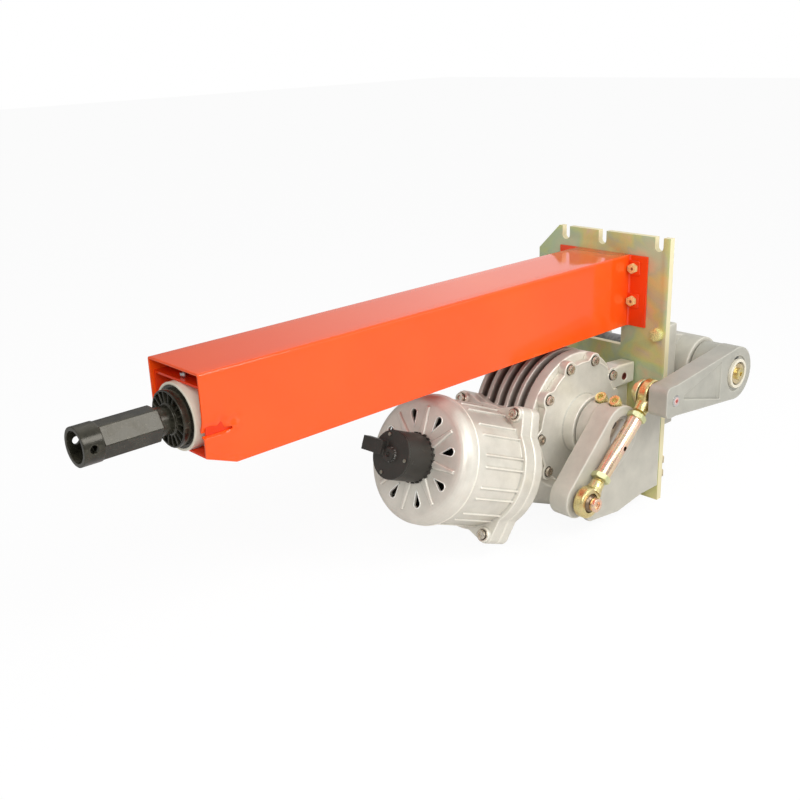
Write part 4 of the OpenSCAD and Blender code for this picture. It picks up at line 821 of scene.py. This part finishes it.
VENT_COUNT, VENT_TURN, VENT_IN, VENT_OUT, VENT_R = 8, math.radians(-68), 41.0, 59.0, 5.0
wedges = []
for i in range(VENT_COUNT):
    ray = MOTOR @ Matrix.Rotation(VENT_TURN + (i + 0.5) * 2 * math.pi / VENT_COUNT, 4, "Z")
    foot = [(30, -5.2), (62, -2.2), (62, 2.2), (30, 5.2)]
    wedges.append(loft([(x, y, CAP_FACE - 1) for x, y in foot],
                       [(x, y * 0.86, CAP_FACE + 2.2) for x, y in foot], ray))
casting("motor_cap", 0.8, 3, 0.4, wedges)
seam = lathe([(83.6, 230.6), (85.2, 230.9), (85.7, 231.9), (85.3, 233.0), (83.6, 233.6)], MOTOR, 128, True)
piece("cap_seam", to_mesh(seam), "frame", MATERIALS["cast_aluminium"], (), 60)
rims = []
for i in range(VENT_COUNT):
    turn = VENT_TURN + i * 2 * math.pi / VENT_COUNT
    outline = [(VENT_OUT + (VENT_R + 0.6) * math.cos(a), (VENT_R + 0.6) * math.sin(a))
               for a in [math.radians(-108 + k * 216 / 13) for k in range(14)]]
    outline += [(VENT_IN + 3, 0.9), (VENT_IN - 0.6, 0.0), (VENT_IN + 3, -0.9)]
    pts = [in_motor(math.hypot(x, y), turn + math.atan2(y, x), CAP_FACE + 0.1) for x, y in outline]
    rims.append(tube(pts, 0.75, True, 8))
# vent rims in the paler paint: painted highlight
piece("motor_vent_rims", to_mesh(joined(rims)), "frame", HIGHLIT_RIM_PAINT, (), 0)

# Encoder

casting("encoder_housing", 0.6, 2, 0.5)
casting("encoder_lid", 0.6, 2, 0.5)
boss = lathe([(4.6, 297), (9.6, 297), (9.9, 301.5), (9.4, 304.2), (7.4, 305.0), (5.4, 304.4), (4.6, 303.0)],
             MOTOR, 64, True)
piece("encoder_boss", to_mesh(boss), "frame", SCUFFED_BOSS, (), 50)
teeth = []
for i in range(26):
    turn = 2 * math.pi * i / 26
    teeth.append(block(30.5, 33.2, -1.7, 1.7, CAP_FACE, CAP_FACE + 4.5,
                       MOTOR @ Matrix.Rotation(turn, 4, "Z")))
piece("encoder_base_teeth", rounded(to_mesh(joined(teeth)), 0.3), "frame",
      MATERIALS["black_plastic"])
dressed("encoder_screws", 0.3, 2, ENCODER_SCREW)

# Tie rod


def rod_end(name, matrix, node):
    ring = lathe([(13.6, -7.5), (18.4, -7.5), (20.4, -6.7), (21.5, -4.4), (21.5, 4.4), (20.4, 6.7),
                  (18.4, 7.5), (13.6, 7.5), (13.1, 6.6), (13.7, 4.4), (14.1, 0), (13.7, -4.4),
                  (13.1, -6.6)], ALONG_Y, 72, True)
    neck = lathe([(0, 15.5), (12.4, 15.5), (11.2, 19), (9.9, 23), (9.4, 27), (9.4, 31), (0, 31)],
                 ALONG_X, 48)
    thread = [(0, 30)]
    z = 30.0
    while z < 60:
        thread += [(7.9, z), (7.1, z + 1.0)]
        z += 2.0
    thread += [(7.9, z), (0, z)]
    shank = lathe(thread, ALONG_X, 48)
    ring.transform(matrix)
    neck.transform(matrix)
    shank.transform(matrix)
    body = cast(to_mesh(joined([ring, neck])), 0.5, 3, 0.6)
    piece(name, body, "tie_rod", GOLD, [node], 0)
    piece(name + "_thread", to_mesh(shank), "tie_rod", GOLD, (), 20)


rod_end("lower_rod_end_forging", ROD, "lower_rod_end")
rod_end("upper_rod_end_forging", ROD_TOP, "upper_rod_end")
dressed("lower_ball", 0.5, 2, BALL_STEEL)
dressed("upper_ball", 0.5, 2, BALL_STEEL)
for label, matrix in (("lower", ROD), ("upper", ROD_TOP)):
    nut = hexagon(23.4, 35, 43, 8.0, matrix @ ALONG_X)
    piece(label + "_nut", to_mesh(nut), "tie_rod", MATERIALS["pale_zinc"],
          [label + "_lock_nut"], 25)
dressed("turnbuckle", 0.9, 3)
dressed("crank_pin", 0.9, 3)
pivot = lathe([(0, 122.5), (13.0, 122.5), (13.6, 128.6), (17.8, 128.6), (18.4, 129.2), (18.4, 132.9),
               (17.8, 133.5), (8.0, 133.5), (8.0, 155.6), (0, 155.6)],
              at(TOP_X, 0, TOP_Z) @ ALONG_Y, 64)
piece("pivot_head", to_mesh(pivot), "tie_rod", MATERIALS["pale_zinc"],
      ["upper_pivot_bolt"], 30)
dressed("crank_clamp_screws", 0.7, 2, YELLOW_ZINC)
dressed("cover_screws", 0.6, 2, SCREW_SILVER)
dressed("motor_screws", 0.6, 2, SCREW_SILVER)
screw_tops = [MOTOR @ Matrix.Rotation(math.radians(a), 4, "Z") @ at(MOTOR_CIRCLE, 0, MOTOR_SEAT)
              for a in MOTOR_SCREW_TURNS]
piece("motor_screw_washers", to_mesh(joined([flat_ring(7.3, 8.8, -0.2, 1.1, m) for m in screw_tops])),
      "frame", SCREW_SILVER)
# dark rings inside the washers of the motor screws: painted shade
piece("motor_screw_painted_shade", to_mesh(joined([flat_ring(6.4, 7.4, -0.2, 0.5, m) for m in screw_tops])),
      "frame", PAINTED_SHADE_GAP)
hub = at(MAIN_X, 0, MAIN_Z) @ ALONG_Y
piece("hub_ring", to_mesh(flat_ring(17.2, 21.4, 183.2, 187.8, hub, 64)), "lever",
      MATERIALS["cream_nylon"], ["lever_washer"])
# a dark sheet under the hub ring and washer: painted shade
piece("hub_painted_shade", to_mesh(flat_ring(7.9, 17.3, 183.2, 183.9, hub, 64)), "lever", PAINTED_SHADE_GAP)
piece("hub_washer", to_mesh(flat_ring(7.9, 15.0, 183.8, 187.0, hub, 64)), "lever",
      MATERIALS["zinc_screws"])
piece("lever_bolt_head", to_mesh(cap_head(8.6, 4.6, 6.0, 3.4, hub @ at(0, 0, 187))), "lever", GOLD,
      ["lever_bolt"], 30)
dressed("lever_pin_end", 0.5)
dressed("beam_bolts", 0.9, 3, BRASS_BOLT)
bolt_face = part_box("beam_bolts")[1].x / MM
bolt_places = [at(0, side * (HALF_W + EAR_BOLT_OUT), z) @ ALONG_X for side in (1, -1) for z in EAR_BOLT_Z]
# flat dark discs on the ear bolt heads standing for a recess: painted shade
bolt_shade_discs = [flat_ring(0.3, 2.1, bolt_face - 0.2, bolt_face + 0.1, m) for m in bolt_places]
piece("ear_bolt_painted_shade", to_mesh(joined(bolt_shade_discs)), "frame", BALL_STEEL)
dressed("beam_nuts", 0.4)
dressed("bearing_bolts", 0.5, 2, BRASS_BOLT)
dressed("base_bolts", 0.4)
dressed("side_bracket_bolts", 0.4)
dressed("mounting_plate", 0.7, 3)
dressed("output_shaft", 0.5, 2, TURNED_END)
dressed("main_shaft", 0.6)
dressed("cable_gland", 0.5)

# Small marks

# lining of the lug's bore: rust tone with painted shade
bore = flat_ring(4.3, 5.25, 41.0, COVER_FACE - 0.1, at(LUG_X, 0, LUG_Z) @ ALONG_Y)
piece("lug_bore", to_mesh(bore), "frame", RUSTY_SHADED_BORE)
for label, r, top, material in (("halo", 5.6, 186.15, PINK_MARK), ("dot", 2.9, 186.4, RED_MARK)):
    mark = lathe([(0, 185.6), (r, 185.6), (r - 0.5, top), (0, top)], at(TOP_X, 0, TOP_Z) @ ALONG_Y, 32)
    piece("paint_" + label, to_mesh(mark), "lever", material, (), 0)

# Floor, light and camera

world = bpy.data.worlds.new("world")
bpy.context.scene.world = world
world.use_nodes = True
nt = world.node_tree
background = nt.nodes["Background"]
path = nt.nodes.new("ShaderNodeLightPath")
direction = nt.nodes.new("ShaderNodeTexCoord").outputs["Generated"]
near_side = vector_calc(nt, "DOT_PRODUCT", direction, (0.62, 0.70, 0.25)).outputs["Value"]
far_side = vector_calc(nt, "DOT_PRODUCT", direction, (0.0, -0.98, 0.17)).outputs["Value"]
mirrored = calc(nt, "MULTIPLY", remap(nt, near_side, 1.0, 0.42, -0.2, 0.75),
                remap(nt, far_side, 1.0, 0.30, 0.70, 0.90))
sky = grey_of(nt, remap(nt, part_of(nt, direction, "Z"), 0.62, 0.32, 0.0, 1.0))
ambient = mix(nt, path.outputs["Is Glossy Ray"], sky, grey_of(nt, mirrored))
plain = calc(nt, "MAXIMUM", path.outputs["Is Camera Ray"], path.outputs["Is Transmission Ray"])
seen = mix(nt, plain, ambient, (1, 1, 1))
nt.links.new(seen, background.inputs["Color"])
background.inputs["Strength"].default_value = 1.0

FLOOR_GLOW, FLOOR_REACH = 0.9, 12
floor_z = cad_low.z - 0.0005
bm = bmesh.new()
bm.faces.new([bm.verts.new((x * FLOOR_REACH, y * FLOOR_REACH, floor_z))
              for x, y in ((-1, -1), (1, -1), (1, 1), (-1, 1))])
stage_mesh = bpy.data.meshes.new("floor")
bm.to_mesh(stage_mesh)
bm.free()
floor = bpy.data.objects.new("studio_floor", stage_mesh)
bpy.context.scene.collection.objects.link(floor)
fm = bpy.data.materials.new("floor")
fm.use_nodes = True
nt = fm.node_tree
bsdf = nt.nodes["Principled BSDF"]
bsdf.inputs["Base Color"].default_value = (0.88, 0.88, 0.88, 1)
bsdf.inputs["Roughness"].default_value = 0.9
bsdf.inputs["Specular IOR Level"].default_value = 0.0
glow = nt.nodes.new("ShaderNodeEmission")
glow.inputs["Color"].default_value = (1, 1, 1, 1)
glow.inputs["Strength"].default_value = 1.03
path = nt.nodes.new("ShaderNodeLightPath")
plain = calc(nt, "MAXIMUM", path.outputs["Is Camera Ray"], path.outputs["Is Transmission Ray"])
blend_shader = nt.nodes.new("ShaderNodeMixShader")
nt.links.new(calc(nt, "MULTIPLY", plain, FLOOR_GLOW), blend_shader.inputs[0])
nt.links.new(bsdf.outputs[0], blend_shader.inputs[1])
nt.links.new(glow.outputs[0], blend_shader.inputs[2])
nt.links.new(blend_shader.outputs[0], nt.nodes["Material Output"].inputs["Surface"])
stage_mesh.materials.append(fm)


def softbox(name, place, aim, size, power):
    light = bpy.data.lights.new(name, "AREA")
    light.shape = "RECTANGLE"
    light.size, light.size_y = size
    light.energy = power
    o = bpy.data.objects.new(name, light)
    bpy.context.scene.collection.objects.link(o)
    o.location = place
    o.rotation_mode = "QUATERNION"
    o.rotation_quaternion = (Vector(aim) - Vector(place)).to_track_quat("-Z", "Y")


softbox("key", (1.5, 1.5, 1.3), (0.25, 0.05, -0.12), (1.4, 1.4), 22)
softbox("fill", (0.0, 1.35, 1.05), (0.5, 0.0, -0.05), (0.8, 0.9), 13)
softbox("side", (-0.9, 1.9, 0.2), (0.0, 0.1, -0.15), (1.0, 1.0), 3)
softbox("top", (0.2, -0.6, 1.9), (0.25, 0.0, -0.1), (1.8, 1.2), 1.5)

camera = bpy.data.cameras.new("camera")
camera.lens = 45.97
camera.sensor_width = 36
camera.clip_start = 0.01
camera.clip_end = 60
view = bpy.data.objects.new("camera", camera)
bpy.context.scene.collection.objects.link(view)
view.rotation_mode = "QUATERNION"
view.location = (1.2381, 0.88347, 0.34951)
view.rotation_quaternion = Quaternion((0.31043, 0.199736, 0.541177, 0.755557))
bpy.context.scene.camera = view
bpy.context.scene.view_settings.view_transform = "Standard"
